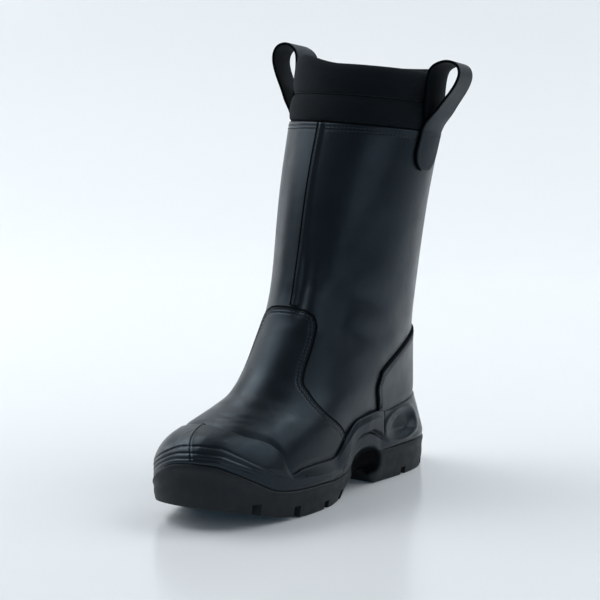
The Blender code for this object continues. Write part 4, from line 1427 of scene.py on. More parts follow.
@dataclass(frozen=True)
class FrontSeam:
    """The raised lap of the shaft's seam down the middle of the front."""

    last: Last
    panel: PanelBuild
    start: float = 7.03
    end: float = 9.985
    half_width: float = 0.0036
    low_offset: float = 0.0062
    top_offset: float = 0.0008
    skived_from: float = -0.3
    rows: int = 110
    columns: int = 25
    sewn_inset: float = 0.0015

    def turn_at(self, level: Array, place: float) -> Array:
        """Turn of a line along the lap, by its place from -1 at the right edge to 1 at the left edge."""
        nose = spline(range(len(self.last.sections)), [s.nose for s in self.last.sections], level)
        middle = np.interp(level, [self.start, self.last.top], [self.low_offset, self.top_offset])
        return (middle + self.half_width * place) / nose

    def build(self) -> None:
        """Builds the lap, skived thin on its left, and the sewn row along its right, cut edge."""
        level = np.linspace(self.start, self.end, self.rows)
        places = np.sin(np.linspace(-np.pi / 2, np.pi / 2, self.columns))
        turns = np.stack([self.turn_at(level, place) for place in places], axis=1)
        levels = np.repeat(level[:, None], self.columns, axis=1)
        cut = Path(level, self.turn_at(level, -1))
        skived = self.panel.gap + self.panel.thickness - 2 * self.panel.lowest
        thin = skived * ease(self.skived_from, 1.0, places) * np.ones(levels.shape)
        sewn = self.turn_at(level, self.sewn_inset / self.half_width - 1)
        rows = [Path(level[1:-3], sewn[1:-3])]
        self.panel.sew_on("front_seam", "lap", Path(levels, turns), cut, rows, thin, SEAM_LEATHER, Slot.SEAM)


@dataclass(frozen=True)
class Collar:
    """The padded textile collar: two rolls with a sewn groove between them, tucked inside the shaft."""

    last: Last
    thread: Thread
    profile: tuple[Profile, ...] = table(
        Profile,
        (-0.0022, 0.0007), (0.0002, 0.0035), (0.0007, 0.0103), (0.0003, 0.0172), (-0.0014, 0.0221),
        (-0.0034, 0.0241), (-0.0014, 0.0261), (-0.0006, 0.0325), (-0.0009, 0.042),
        (-0.0022, 0.05), (-0.0048, 0.054), (-0.0076, 0.053), (-0.0096, 0.048),
        (-0.0102, 0.038), (-0.0094, 0.0275), (-0.0102, 0.016), (-0.0098, 0.004),
    )
    outer_drop: float = 0.0046
    inner_lift: float = 0.0028
    drop_rises: Pair = (radians(-40), radians(10))
    drop_falls: Pair = (radians(110), radians(150))
    tuck_level: float = 9.76
    tuck_thickness: float = 0.006
    behind: float = 0.0030
    below_top: float = 0.01
    full_drop_up: float = 0.050
    columns: int = 240
    rows_between: int = 5
    groove: int = 8
    inner_groove: int = 17
    slack: float = 0.0007
    pressure: float = 4.0
    farthest: float = 0.0016
    frames: int = 18
    thread_lift: float = 0.0004

    @property
    def groove_line(self) -> Profile:
        """Bottom of the groove between the rolls, after the three corners of the tuck."""
        return self.profile[self.groove - 3]

    def rings(self) -> Array:
        """Points of the unfilled collar as rows round its section by columns round the shaft."""
        turns = np.linspace(0, 2 * np.pi, self.columns, endpoint=False)
        corners = [
            self.last.shell(self.tuck_level, turns, -self.behind - self.tuck_thickness),
            self.last.shell(self.tuck_level, turns, -self.behind),
            self.last.shell(self.last.top - self.below_top, turns, -self.behind),
        ]
        signed = np.mod(turns + np.pi / 2, 2 * np.pi) - np.pi / 2
        outer = ease(*self.drop_rises, signed) * (1 - ease(*self.drop_falls, signed))
        drop = self.outer_drop * outer - self.inner_lift * (1 - outer)
        for p in self.profile:
            lower = drop * ease(self.groove_line.up, self.full_drop_up, p.up)
            corners.append(self.last.top_point(turns, p.out, p.up - lower))
        corners = np.array(corners)
        rows = []
        for k in range(len(corners)):
            before, start, end, after = (corners[(k + d) % len(corners)] for d in (-1, 0, 1, 2))
            for s in np.arange(self.rows_between) / self.rows_between:
                bend = 2 * start - 2 * end + (end - before) / 2 + (after - start) / 2
                pull = -3 * start + 3 * end - (end - before) - (after - start) / 2
                rows.append(bend * s**3 + pull * s**2 + (end - before) / 2 * s + start)
        return np.array(rows)

    def held_rows(self) -> Array:
        """How firmly each row is sewn down, from 0 to 1."""
        count = (len(self.profile) + 3) * self.rows_between
        row = np.arange(count)
        held = np.zeros(count)
        for corner in (self.groove, self.inner_groove):
            held = np.maximum(held, bump(corner * self.rows_between, 0.8, row))
        held[: 4 * self.rows_between] = 1.0
        held[-self.rows_between :] = 1.0
        return held

    def fill(self, item: Piece, held: Array) -> None:
        """Blows the rolls up between their sewn rows with a cloth simulation.

        Args:
            item: The collar.
            held: How firmly each of its points is sewn down.
        """
        mesh = item.data
        before = mesh_points(mesh)
        group = item.vertex_groups.new(name="sewn")
        for index, weight in enumerate(held):
            if weight > 0.02:
                group.add([index], float(weight), "REPLACE")
        cloth = item.modifiers.new("Padding", "CLOTH")
        settings = cloth.settings
        settings.vertex_group_mass = "sewn"
        settings.use_pressure = True
        settings.uniform_pressure_force = self.pressure
        settings.effector_weights.gravity = 0
        settings.quality = 6
        settings.mass = 0.12
        settings.tension_stiffness = 14
        settings.compression_stiffness = 14
        settings.bending_stiffness = 0.3
        cloth.collision_settings.use_collision = False
        scene = bpy.context.scene
        cloth.point_cache.frame_start = 1
        cloth.point_cache.frame_end = self.frames
        for number in range(1, self.frames + 1):
            scene.frame_set(number)
        filled = item.evaluated_get(bpy.context.evaluated_depsgraph_get())
        move = mesh_points(filled.data) - before
        item.modifiers.remove(cloth)
        scene.frame_set(1)
        length = np.linalg.norm(move, axis=1, keepdims=True)
        move *= np.minimum(1, self.farthest / np.maximum(length, 1e-9))
        mesh.vertices.foreach_set("co", (before + move).ravel())
        mesh.update()

    def build(self) -> None:
        """Builds the collar and the stitches of its groove."""
        rings = self.rings()
        held = self.held_rows()
        middle = rings.mean(axis=0, keepdims=True)
        rings = rings + self.slack * (1 - held)[:, None, None] * normalised(middle - rings)
        rings = np.concatenate([rings, rings[:1]])
        held = np.append(held, held[0])
        marks = np.repeat(held[:, None], self.columns + 1, axis=1)
        item = wrapped_grid("padded_collar", closed(rings), {"held": marks}, cloth_size=(0.36, 0.16))
        values = np.zeros(len(item.data.vertices), np.float32)
        item.data.attributes["held"].data.foreach_get("value", values)
        self.fill(item, values)
        dress(item, KNIT, ["collar"])
        around = np.linspace(0, 2 * np.pi, ROUND_POINTS)
        line = self.groove_line
        points = self.last.top_point(around, line.out + self.thread_lift, line.up)
        normals = normalised(self.last.top_point(around, line.out + 0.01, line.up) - points)
        dress(self.thread.sew("collar_stitches", [Run(points, normals)]), THREAD)


class StrapStation(NamedTuple):
    """A point of a pull strap's middle line, by its shares of the loop's bulge, rise and twist."""

    out: float
    up: float
    twist: float


@dataclass(frozen=True)
class PullLoop:
    """A leather pull strap: a round-ended tab on the shaft, a standing loop, and a leg against the collar."""

    last: Last
    thread: Thread
    side: Side
    turn: float
    bulge: float
    rise: float
    half_width: float = 0.0165
    thickness: float = 0.0022
    gap: float = 0.00055
    twist: float = radians(9)
    flat_from_out: float = 0.004
    tab_length: float = 0.0315
    tab_end_level: float = 9.33
    tab_below_top: float = 0.004
    flat_share: float = 0.93
    edge_share: float = 0.07
    sewn_inset: float = 0.0026
    path: tuple[StrapStation, ...] = table(
        StrapStation,
        (0.065, 0.03, 0), (0.13, 0.1, 0.08), (0.29, 0.23, 0.3), (0.53, 0.41, 0.65),
        (0.78, 0.58, 0.9), (0.96, 0.74, 1), (1, 0.86, 1), (0.9, 0.955, 0.95),
        (0.68, 1, 0.8), (0.43, 0.995, 0.55), (0.22, 0.93, 0.25), (0.11, 0.82, 0),
        (0.085, 0.68, 0), (0.085, 0.52, 0), (0.09, 0.37, 0), (0.1, 0.26, 0),
        (0.11, 0.19, 0),
    )
    rows: int = 130
    tab_rows: int = 34

    def section(self) -> tuple[Array, Array]:
        """The strap's section: places across from -1 to 1, and heights from -1 to 1 between its faces."""
        inner = np.linspace(-self.flat_share, self.flat_share, 15)
        far = self.flat_share + self.edge_share * np.sin(np.radians([22, 45, 68, 90]))
        drop = np.cos(np.radians([22, 45, 68, 88]))
        face = np.concatenate([-far[::-1], inner, far])
        height = np.concatenate([drop[::-1], np.ones(inner.shape), drop])
        return np.concatenate([face, face[::-1]]), np.concatenate([height, -height])

    def tab_half(self, distance: Array) -> Array:
        """Half-width of the tab at distances from its round end."""
        rounding = np.maximum(0, 1 - np.asarray(distance, float) / self.half_width)
        return self.half_width * np.sqrt(1 - rounding**2)

    def level_at(self, distance: Array) -> Array:
        """Level on the shaft at distances from the tab's round end."""
        top, below = self.last.sections[-1], self.last.sections[-2]
        level_height = (top.front_z + top.back_z - below.front_z - below.back_z) / 2
        level = self.tab_end_level + np.asarray(distance, float) / level_height
        return np.minimum(level, self.last.top - self.tab_below_top)

    def tab_rings(self) -> Array:
        """Loops of the tab on the side of the shaft."""
        across, height = self.section()
        distance = self.tab_length * np.linspace(0.02, 1, self.tab_rows) ** 1.8
        waist = self.last.sections[-1].waist
        turns = self.turn + across[None, :] * self.tab_half(distance)[:, None] / waist
        levels = np.repeat(self.level_at(distance)[:, None], len(across), axis=1)
        crown = self.thickness * ease(0, 0.0014, distance)[:, None]
        out = np.where(height > 0, self.gap + crown * np.abs(height), 0.1 * self.gap)
        return self.last.shell(levels, turns, out)

    def loop_rings(self) -> Array:
        """Loops of the standing part and of the leg behind it."""
        _, axis, rearward, depth, width = self.last.top_frame()
        around = np.cos(self.turn) * width * np.array([1.0, 0, 0]) + np.sin(self.turn) * depth * rearward
        around = normalised(around)
        outward = np.cross(around, axis)
        foot = self.last.top_point(np.array(self.turn), 0.0, 0.0)
        line = np.array(self.path) * np.array([self.bulge, self.rise, self.twist])
        run = np.concatenate([[0], np.cumsum(np.linalg.norm(np.diff(line[:, :2], axis=0), axis=1))])
        outs, ups, twists = spline(run, line, np.linspace(0, run[-1], self.rows)).T
        run_out, run_up = np.gradient(outs), np.gradient(ups)
        length = np.hypot(run_out, run_up)
        hug = 1 - ease(self.flat_from_out, 3 * self.flat_from_out, outs)
        across, height = self.section()
        bend = depth**2 / width
        rings = []
        for k in range(self.rows):
            sideways = self.half_width * across
            faces = height * self.thickness / 2
            out = outs[k] + run_up[k] / length[k] * faces - hug[k] * sideways**2 / (2 * bend)
            out = out - math.sin(twists[k]) * sideways
            up = ups[k] - run_out[k] / length[k] * faces
            along = math.cos(twists[k]) * sideways
            rings.append(foot + up[:, None] * axis + out[:, None] * outward + along[:, None] * around)
        return np.array(rings)

    def build(self) -> None:
        """Builds the strap and the stitches of its tab."""
        rings = np.concatenate([self.tab_rings(), self.loop_rings()])
        ends = np.repeat(rings[[0, -1]].mean(axis=1, keepdims=True), rings.shape[1], axis=1)
        rings = np.concatenate([ends[:1], rings, ends[1:]])
        across, height = self.section()
        # Dye on the strap's edges, and painted shade at half strength on its inner face.
        dye_and_shade = np.maximum(ease(0.90, 0.97, np.abs(across)), 0.5 * (height < 0)) * np.ones((len(rings), 1))
        name = f"pull_loop_{self.side.name.lower()}"
        item = wrapped_grid(f"{name}_strap", closed(rings), {"edge_dye_and_shade": closed(dye_and_shade)})
        dress(item, STRAP_LEATHER, [name])
        dress(self.thread.sew(f"{name}_stitches", self.sewn_runs()), THREAD)

    def sewn_runs(self) -> list[Run]:
        """The stitched line round the tab and the one across it below the shaft's edge."""
        waist = self.last.sections[-1].waist
        bend = np.linspace(-np.pi / 2, np.pi / 2, 40)
        radius = self.half_width - self.sewn_inset
        straight = np.linspace(self.tab_length - 0.001, self.half_width, 30, endpoint=False)
        distance = np.concatenate([straight, self.half_width - radius * np.cos(bend), straight[::-1]])
        sideways = np.concatenate([np.full(30, -radius), radius * np.sin(bend), np.full(30, radius)])
        out = self.gap + self.thickness - 0.0001
        round_tab = Path(self.level_at(distance), self.turn + sideways / waist)
        across = np.linspace(-radius, radius, 20)
        top = np.full(across.shape, float(self.level_at(self.tab_length - 0.0022)))
        return [self.last.run(round_tab, out), self.last.run(Path(top, self.turn + across / waist), out)]


class Rib(NamedTuple):
    """A groove of the toe bumper: its height over the parting line, and the turn in degrees where it ends."""

    height: float
    end: float


@dataclass(frozen=True)
class Midsole:
    """The moulded middle of the sole: wedge, ribbed toe bumper, arch band and heel cup in one piece."""

    last: Last
    plan: SolePlan
    step: float = 0.0005
    rim_width: float = 0.0038
    edge: float = 0.0027
    gap: float = 0.0002
    inner_gap: float = 0.0004
    thinnest: float = 0.0011
    lip_rise: float = 0.024
    foot_inset: float = 0.0018
    rim_gap: float = 0.0006
    start_lift: float = 0.0008
    band_foot: tuple[Edge, ...] = table(
        Edge,
        (84, 0), (88, 0.25), (92, 0.87), (97.5, 1.2), (104, 1.2), (114, 0.57),
        (120, 0),
    )
    band_relief: float = 0.0022
    band_crease: float = 0.0013
    crease_below: float = 0.10
    crease_half: float = 0.07
    band_start: Pair = (radians(80), radians(90))
    band_end: Pair = (radians(112.0), radians(114.0))
    recess_end: Pair = (radians(112), radians(120))
    dish_turn: float = radians(129)
    dish_half_turn: float = radians(13)
    dish_level: float = 0.82
    dish_half_level: float = 0.66
    dish_depth: float = 0.0024
    dish_rim: float = 0.0009
    ribs: tuple[Rib, ...] = (Rib(0.0044, 40.0), Rib(0.0082, 43.0), Rib(0.0128, 57.0))
    rib_depth: float = 0.0008
    rib_width: float = 0.0008
    rib_gather: float = 0.12
    rib_fade: float = 16.0
    seam_foot_turn: float = radians(8.0)
    seam_bend: float = 1.3
    seam_top_turn: float = radians(-6.8)
    seam_half_turn: float = radians(0.40)
    seam_depth: float = 0.0006
    seam_peak: float = 0.10
    split_turn: float = radians(113.5)
    split_depth: float = 0.0011
    columns: int = 380
    crowding: Spots = (
        (0.0, 9.0, 4.5), (57.5, 5.0, 2.4), (86.0, 7.0, 2.2), (113.5, 2.0, 3.5), (102.0, 12.0, 1.8),
    )
    wall_bend: float = 1.3
    wall_rows: int = 116
    row_crowding: float = 1.6
    inner_rows: int = 8

    def off_seam(self, turns: Array, share: float) -> Array:
        """Turn from the toe's mould seam at a share of the bumper's height."""
        seam = self.seam_foot_turn + (self.seam_top_turn - self.seam_foot_turn) * share**self.seam_bend
        return np.mod(turns - seam + np.pi, 2 * np.pi) - np.pi

    def crown(self, turns: Array) -> Array:
        """Level of the top edge, with a small peak at the mould seam."""
        peak = bump(0, 3 * self.seam_half_turn, self.off_seam(turns, 1.0))
        return edge_level(MIDSOLE_CROWN, turns) + self.seam_peak * peak

    def relief(self, turns: Array, levels: Array, share: float) -> Array:
        """How far the side stands out or in: arch band, hollow under it, heel dish and heel split.

        Args:
            turns: Turns of the columns.
            levels: Level of each column.
            share: Share of the way from the outsole's rim to the top edge.

        Returns:
            The height at each column.
        """
        away = folded(turns)
        over_foot = levels - edge_level(self.band_foot, turns)
        above = ease(-0.05, 0.07, over_foot)
        begins = ease(*self.band_start, away)
        band = self.band_relief * begins * (1 - ease(*self.band_end, away)) * above
        crease = self.band_crease * bump(-self.crease_below, self.crease_half, over_foot)
        hollow = crease + self.plan.arch_inset(turns) * (1 - above)
        recess = begins * (1 - ease(*self.recess_end, away)) * hollow
        across = (away - self.dish_turn) / self.dish_half_turn
        along = (levels - self.dish_level) / self.dish_half_level
        from_middle = np.hypot(across, along)
        dish = self.dish_depth * (1 - ease(0.45, 1.0, from_middle))
        dish = dish - self.dish_rim * bump(1.1, 0.16, from_middle)
        fade = min(1.0, 4 * (1 - share) + 0.4)
        split = self.split_depth * bump(self.split_turn, radians(0.8), away) * ease(0.5, 0.8, levels)
        return (band - recess - dish) * fade - split

    def toe_relief(self, turns: Array, share: float, height: Array) -> Array:
        """Ribs of the toe bumper, by their height over the parting line, and the seam of its mould.

        Args:
            turns: Turns of the columns.
            share: Share of the way from the outsole's rim to the top edge.
            height: Height of each column over the parting line.

        Returns:
            The height at each column.
        """
        away = np.degrees(folded(turns))
        gather = 1 - self.rib_gather * ease(15, 55, away)
        grooves = np.zeros(turns.shape)
        for rib in self.ribs:
            shown = 1 - ease(rib.end - self.rib_fade, rib.end, away)
            grooves += shown * bump(rib.height, self.rib_width, height / gather)
        off = self.off_seam(turns, share)
        seam = bump(0, self.seam_half_turn, off)
        ridge = 0.5 * bump(0, 4 * self.seam_half_turn, off)
        return self.seam_depth * (ridge - 1.3 * seam) - self.rib_depth * grooves * (1 - ridge)

    def level_at_height(self, turns: Array, height: Array) -> Array:
        """Level at which the upper reaches a height, for each turn."""
        levels = np.linspace(0, 4, 161)
        heights = self.last.point(levels[:, None], turns[None, :])[..., 2]
        return np.array([np.interp(h, heights[:, i], levels) for i, h in enumerate(height)])

    def wall(self, turns: Array, share: float, start: Array, rim: Array) -> Array:
        """One loop of the visible side.

        Args:
            turns: Angles of the columns.
            share: Share of the way from the outsole's rim to the top edge.
            start: Levels at which the side begins.
            rim: Points of the outsole's rim, which the side stays within except at the arch band.

        Returns:
            The loop's points.
        """
        outward = self.plan.outward(turns)
        base = np.linalg.norm((rim - self.last.point(start, turns))[:, :2], axis=1)
        level = start + share * (self.crown(turns) - start)
        out = self.edge + np.maximum(base - self.edge, 0) * (1 - share) ** self.wall_bend
        relief = self.relief(turns, level, share)
        beyond = ((self.smooth_shell(level, turns, out) - rim) * outward).sum(axis=1)
        out = out + relief - np.maximum(beyond, 0)
        height = self.smooth_shell(level, turns, out)[:, 2]
        out = out + self.toe_relief(turns, share, height - self.plan.parting(turns))
        out = out - self.plan.cavity(turns, height)
        return self.smooth_shell(level, turns, np.maximum(out, self.thinnest))

    def build(self) -> None:
        """Builds the moulded piece."""
        turns = crowded_turns(self.columns, self.crowding)
        plan = self.plan
        parting = plan.parting(turns)
        feather = self.last.point(0, turns)
        seat = (plan.value("tread", turns) + feather[:, 2]) / 2
        crown = self.crown(turns)
        start = np.maximum(np.minimum(self.level_at_height(turns, parting + self.start_lift), crown - 0.3), 0)
        step = self.step * (1 - plan.flush(turns))
        rim = plan.loop(turns, step, parting + self.gap)
        ledge_inset = step + plan.arch_inset(turns) + plan.cavity(turns, parting)
        ledge = plan.loop(turns, ledge_inset, parting + self.gap)
        under = plan.loop(turns, self.rim_width + self.foot_inset, seat + self.gap)
        rings = list(to_middle(under, self.last.middle_beside(under), (1, 0.66, 0.33)))
        rings += [under, plan.loop(turns, self.rim_width + self.rim_gap, parting + self.gap), ledge]
        for share in np.linspace(0, 1, self.wall_rows) ** self.row_crowding:
            rings.append(self.wall(turns, share, start, rim))
        for lift in np.radians([30, 60, 90]):
            level = crown + self.lip_rise * math.sin(lift)
            out = self.inner_gap + (self.edge - self.inner_gap) * math.cos(lift)
            rings.append(self.smooth_shell(level, turns, out))
        for share in np.linspace(0.9, 0, self.inner_rows):
            rings.append(self.smooth_shell(crown * share, turns, self.inner_gap))
        floor = rings[-1].copy()
        floor[:, 2] = feather[:, 2] - self.gap
        rings.append(floor)
        rings += list(to_middle(floor, self.last.middle_beside(floor), (0.5, 1)))
        item = wrapped_grid("moulded_midsole", closed(np.array(rings)))
        dress(item, FOAM, ["midsole"])

    def smooth_shell(self, level: Array, turns: Array, out: Array) -> Array:
        """A point at a distance outside the smooth last."""
        away = np.asarray(out, float)[..., None]
        return self.last.point(level, turns) + self.last.normal(level, turns) * away


class Groove(NamedTuple):
    """A slanted groove cut from the sole's edge into the tread, alike on both sides."""

    y: float
    reach: float
    floor: float


@dataclass(frozen=True)
class Outsole:
    """The tread layer: toe spring, arch and heel, lugs with side grooves, and shallow channels underneath."""

    last: Last
    plan: SolePlan
    rim_width: float = 0.0038
    corner: float = 0.0011
    bead: float = 0.0005
    waist: float = 0.0005
    rim_round: float = 0.0005
    rim_drop: float = 0.0003
    seat_inset: float = 0.001
    wall_rows: int = 18
    thinnest: float = 0.0007
    grooves: tuple[Groove, ...] = table(
        Groove,
        (-0.121, 0.02, 0.012), (-0.081, 0.02, 0.0038), (-0.042, 0.022, 0),
        (-0.014, 0.022, 0.0025), (0.09, 0.018, 0), (0.127, 0.015, 0),
    )
    groove_width: float = 0.0066
    groove_depth: float = 0.0065
    past_edge: float = 0.012
    groove_slant: float = radians(14)
    chevrons: tuple[float, ...] = (-0.080, -0.040, 0.082, 0.116)
    chevron_slant: float = radians(24)
    chevron_reach: float = 0.030
    channel_width: float = 0.0036
    channel_depth: float = 0.0028
    columns: int = 300
    crowding: Spots = ((90.0, 22.0, 2.2),)

    def build(self) -> None:
        """Builds the tread layer and cuts its grooves and channels."""
        turns = crowded_turns(self.columns, self.crowding)
        plan = self.plan
        tread, tuck = (plan.value(name, turns) for name in ("tread", "tuck"))
        parting = plan.parting(turns)
        seat = (tread + self.last.point(0, turns)[:, 2]) / 2
        rise = parting - tread
        flat = plan.loop(turns, tuck + self.corner, tread)
        rings = list(to_middle(flat, self.last.middle_beside(flat), (1, 0.8, 0.6, 0.4, 0.2, 0.08)))
        rings += [
            flat,
            plan.loop(turns, tuck + 0.35 * self.corner, tread + 0.15 * self.corner),
            plan.loop(turns, tuck, tread + 0.7 * self.corner),
        ]
        arch = plan.arch_inset(turns)
        stepped = 1 - plan.flush(turns)
        for share in np.linspace(0.10, 0.96, self.wall_rows):
            height = tread + share * rise
            inset = tuck * (1 - ease(0, 0.6, share)) + arch * ease(0.1, 0.8, share)
            inset = inset + plan.cavity(turns, height)
            deepest = self.rim_width - self.thinnest + 3 * np.maximum(0, seat - self.thinnest - height)
            bead = self.bead * bump(0.90, 0.07, share) - self.waist * bump(0.62, 0.18, share)
            rings.append(plan.loop(turns, np.minimum(inset - bead * stepped, deepest), height))
        edge = arch + plan.cavity(turns, parting)
        rings += [
            plan.loop(turns, edge + self.rim_round / 5 * stepped, parting - self.rim_drop),
            plan.loop(turns, edge + self.rim_round * stepped, parting),
            plan.loop(turns, self.rim_width, parting),
        ]
        inside = plan.loop(turns, self.rim_width + self.seat_inset, seat)
        rings += [inside] + list(to_middle(inside, self.last.middle_beside(inside), (0.5, 1)))
        item = wrapped_grid("lugged_outsole", closed(np.array(rings)))
        self.cut(item, self.groove_boxes() + self.channel_boxes())
        activate(item)
        bpy.ops.object.shade_smooth_by_angle(angle=radians(38))
        dress(item, RUBBER, ["outsole"])

    def box(self, middle: Sequence[float], size: Sequence[float], slant: float) -> Piece:
        """A cutting box, turned about the vertical.

        Args:
            middle: Its middle.
            size: Its length, width and height.
            slant: Its turn in radians.

        Returns:
            The box.
        """
        deselect()
        bpy.ops.mesh.primitive_cube_add(size=1, location=middle, rotation=(0, 0, slant), scale=size)
        item = bpy.context.object
        bpy.ops.object.transform_apply(location=True, rotation=True, scale=True)
        return item

    def groove_boxes(self) -> list[Piece]:
        """Boxes for the grooves between the lugs."""
        boxes = []
        for groove in self.grooves:
            share = (groove.y - self.plan.front) / (self.plan.back - self.plan.front)
            turn = math.acos(1 - 2 * share)
            for side in (Side.LEFT.value, Side.RIGHT.value):
                edge = self.plan.outline(np.array([side * turn]))[0]
                middle = (edge[0] - side * (groove.reach - self.past_edge) / 2, edge[1], groove.floor)
                size = (groove.reach + self.past_edge, self.groove_width, 2 * self.groove_depth)
                boxes.append(self.box(middle, size, side * self.groove_slant))
        return boxes

    def channel_boxes(self) -> list[Piece]:
        """Boxes for the shallow chevrons under the tread."""
        boxes = []
        for k, y in enumerate(self.chevrons):
            height = self.plan.tread_height(y)
            for side in (Side.LEFT.value, Side.RIGHT.value):
                reach = self.chevron_reach / 2
                lean = side * self.chevron_slant
                middle = (
                    float(self.last.centre_x(np.array([y]))[0]) + side * reach * math.cos(lean),
                    y + side * reach * math.sin(lean),
                    height - 0.0001 * k - 0.00005 * side,
                )
                size = (self.chevron_reach + 0.002, self.channel_width, 2 * self.channel_depth)
                boxes.append(self.box(middle, size, lean))
        return boxes

    def cut(self, item: Piece, boxes: Sequence[Piece]) -> None:
        """Cuts boxes out of a piece and removes them.

        Args:
            item: The piece.
            boxes: The boxes.
        """
        for box in boxes:
            activate(item)
            groove = item.modifiers.new("Groove", "BOOLEAN")
            groove.operation = "DIFFERENCE"
            groove.solver = "EXACT"
            groove.object = box
            bpy.ops.object.modifier_apply(modifier=groove.name)
            bpy.data.objects.remove(box, do_unlink=True)


@dataclass(frozen=True)
class Footbed:
    """The cloth-covered footbed, inside the upper's open bottom."""

    last: Last
    inset: float = 0.0033
    gap: float = 0.0003
    rise: float = 0.35
    edge_rise: float = 0.0006
    dip: float = 0.0015
    columns: int = 160
    crowding: Spots = ((90.0, 30.0, 1.6),)

    def build(self) -> None:
        """Builds the footbed."""
        turns = crowded_turns(self.columns, self.crowding)
        bottom = self.last.point(0, turns) - self.last.normal(0, turns) * self.inset
        bottom[:, 2] = self.last.point(0, turns)[:, 2] + self.gap
        top = self.last.point(self.rise, turns) - self.last.normal(self.rise, turns) * (self.inset + self.gap)
        middle = self.last.middle_beside(top)
        rings = list(to_middle(bottom, self.last.middle_beside(bottom), (1, 0.5))) + [bottom, top]
        for share in (0.03, 0.1, 0.25, 0.45, 0.7, 1.0):
            ring = to_middle(top, middle, (share,))[0]
            ring[:, 2] += self.edge_rise * ease(0, 0.1, share) - self.dip * ease(0.1, 1, share)
            rings.append(ring)
        item = wrapped_grid("footbed", closed(np.array(rings)), cloth_size=(0.7, 0.12))
        dress(item, FELT, ["insole"])


class SoftBox(NamedTuple):
    """A soft light: its place right of, before and above the boot, its width and height, and its watts."""

    name: str
    right: float
    front: float
    up: float
    width: float
    height: float
    power: float
    faces_down: bool = False


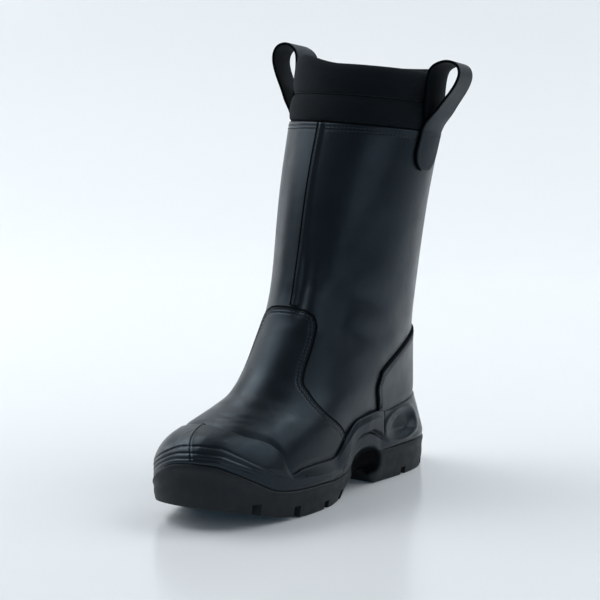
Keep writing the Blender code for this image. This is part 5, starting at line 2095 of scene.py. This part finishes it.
@dataclass(frozen=True)
class Studio:
    """A pale sweep, soft lights and the camera of the photograph."""

    azimuth: float = radians(36)
    elevation: float = radians(9.3)
    distance: float = 1.750
    focal_pixels: float = 2150.0
    frame_pixels: float = 600.0
    sensor: float = 36.0
    target_right: float = -0.001
    target_height: float = 0.1575
    floor_size: float = 9.0
    wall_height: float = 4.0
    bend: float = 1.4
    bend_steps: int = 24
    wall_behind: float = 2.6
    dim_turn: float = radians(25)
    aim_height: float = 0.15
    light_colour: Colour = (0.965, 0.985, 1.0)
    room_colour: Colour = (0.66, 0.83, 1.0)
    room_strength: float = 0.17
    lights: tuple[SoftBox, ...] = table(
        SoftBox,
        ("overhead_left", -1.5, -1.35, 2.4, 1.6, 2.4, 25, True),
        ("overhead_right", 1.5, -1.35, 2.4, 1.6, 2.4, 25, True),
        ("left_box", -1.55, -0.45, 1.6, 2, 2, 22.5),
        ("right_box", 1.7, -0.1, 1.6, 2, 2, 17.5),
        ("left_strip", -1.2, -1, 0.3, 0.5, 0.7, 1.5),
        ("right_fill", 1.15, 1.95, 0.9, 1.6, 0.9, 4.2),
    )

    @property
    def right(self) -> Vector:
        """Direction to the picture's right."""
        return Vector((math.cos(self.azimuth), math.sin(self.azimuth), 0))

    @property
    def front(self) -> Vector:
        """Level direction towards the camera."""
        return Vector((math.sin(self.azimuth), -math.cos(self.azimuth), 0))

    @property
    def dim_side(self) -> Vector:
        """Level direction towards the dim part of the room, left of the camera."""
        return self.front * math.cos(self.dim_turn) - self.right * math.sin(self.dim_turn)

    def build_camera(self) -> None:
        """Sets the camera at the photograph's place."""
        back = self.front * math.cos(self.elevation) + Vector((0, 0, math.sin(self.elevation)))
        target = self.right * self.target_right + Vector((0, 0, self.target_height)) + Vector(FRAME_SHIFT)
        data = bpy.data.cameras.new("photo_camera")
        data.sensor_width = self.sensor
        data.lens = self.focal_pixels / self.frame_pixels * self.sensor
        data.clip_start = 0.05
        camera = bpy.data.objects.new("photo_camera", data)
        camera.location = target + back * self.distance
        camera.rotation_euler = (-back).to_track_quat("-Z", "Y").to_euler()
        bpy.context.scene.collection.objects.link(camera)
        bpy.context.scene.camera = camera

    def build_sweep(self) -> None:
        """Builds the floor with a wall that bends up behind the boot."""
        deselect()
        bpy.ops.mesh.primitive_plane_add(size=self.floor_size)
        sweep = bpy.context.object
        sweep.name = "studio_sweep"
        behind = self.floor_size / 8
        for vertex in sweep.data.vertices:
            if vertex.co.y > 0:
                vertex.co.y = self.wall_behind
        pick_edges(sweep, lambda a, b: min(a.y, b.y) > behind)
        bpy.ops.mesh.extrude_region_move(TRANSFORM_OT_translate={"value": (0, 0, self.wall_height)})
        pick_edges(sweep, lambda a, b: min(a.y, b.y) > behind and max(a.z, b.z) < 0.01)
        bpy.ops.mesh.bevel(offset=self.bend, segments=self.bend_steps, affect="EDGES")
        bpy.ops.object.mode_set(mode="OBJECT")
        bpy.ops.object.shade_smooth()
        sweep.rotation_euler = (0, 0, self.azimuth)
        bpy.ops.object.transform_apply(location=True, rotation=True, scale=True)
        sweep.data.materials.append(FloorFinish("studio_board", tuple(self.dim_side)).material())

    def add_light(self, box: SoftBox) -> None:
        """Adds a soft rectangular light that faces the boot or the floor.

        Args:
            box: The light's place, size and power.
        """
        under = self.right * box.right + self.front * box.front
        place = under + Vector((0, 0, box.up))
        aim = under if box.faces_down else Vector((0, 0, self.aim_height))
        data = bpy.data.lights.new(box.name, "AREA")
        data.shape = "RECTANGLE"
        data.size, data.size_y = box.width, box.height
        data.energy = box.power
        data.color = self.light_colour
        light = bpy.data.objects.new(box.name, data)
        light.location = place
        light.rotation_euler = (aim - place).to_track_quat("-Z", "Y").to_euler()
        bpy.context.scene.collection.objects.link(light)

    def build_lights(self) -> None:
        """Adds the soft lights and the dim room."""
        for box in self.lights:
            self.add_light(box)
        world = bpy.context.scene.world or bpy.data.worlds.new("room")
        bpy.context.scene.world = world
        world.use_nodes = True
        background = world.node_tree.nodes["Background"]
        background.inputs["Color"].default_value = (*self.room_colour, 1.0)
        background.inputs["Strength"].default_value = self.room_strength
        bpy.context.scene.view_settings.view_transform = "Standard"


def main() -> None:
    """Builds the boot's pieces in order."""
    logging.basicConfig(level=logging.INFO, format="%(message)s")
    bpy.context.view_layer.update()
    studio = Studio()
    studio.build_camera()
    last = Last()
    plan = SolePlan(last)
    thread = Thread()
    Outsole(last, plan).build()
    Midsole(last, plan).build()
    Footbed(last).build()
    Upper(last, thread).build()
    panel = PanelBuild(last, thread)
    Vamp(last, panel).build()
    HeelCounter(last, panel).build()
    FrontSeam(last, replace(panel, **LAP_SIZES)).build()
    Collar(last, Thread(pitch=0.0030, length=0.0022, radius=0.00030)).build()
    PullLoop(last, thread, Side.LEFT, turn=radians(93), bulge=0.0265, rise=0.0575).build()
    PullLoop(last, thread, Side.RIGHT, turn=radians(271), bulge=0.0280, rise=0.0670).build()
    studio.build_sweep()
    studio.build_lights()


if __name__ == "__main__":
    main()
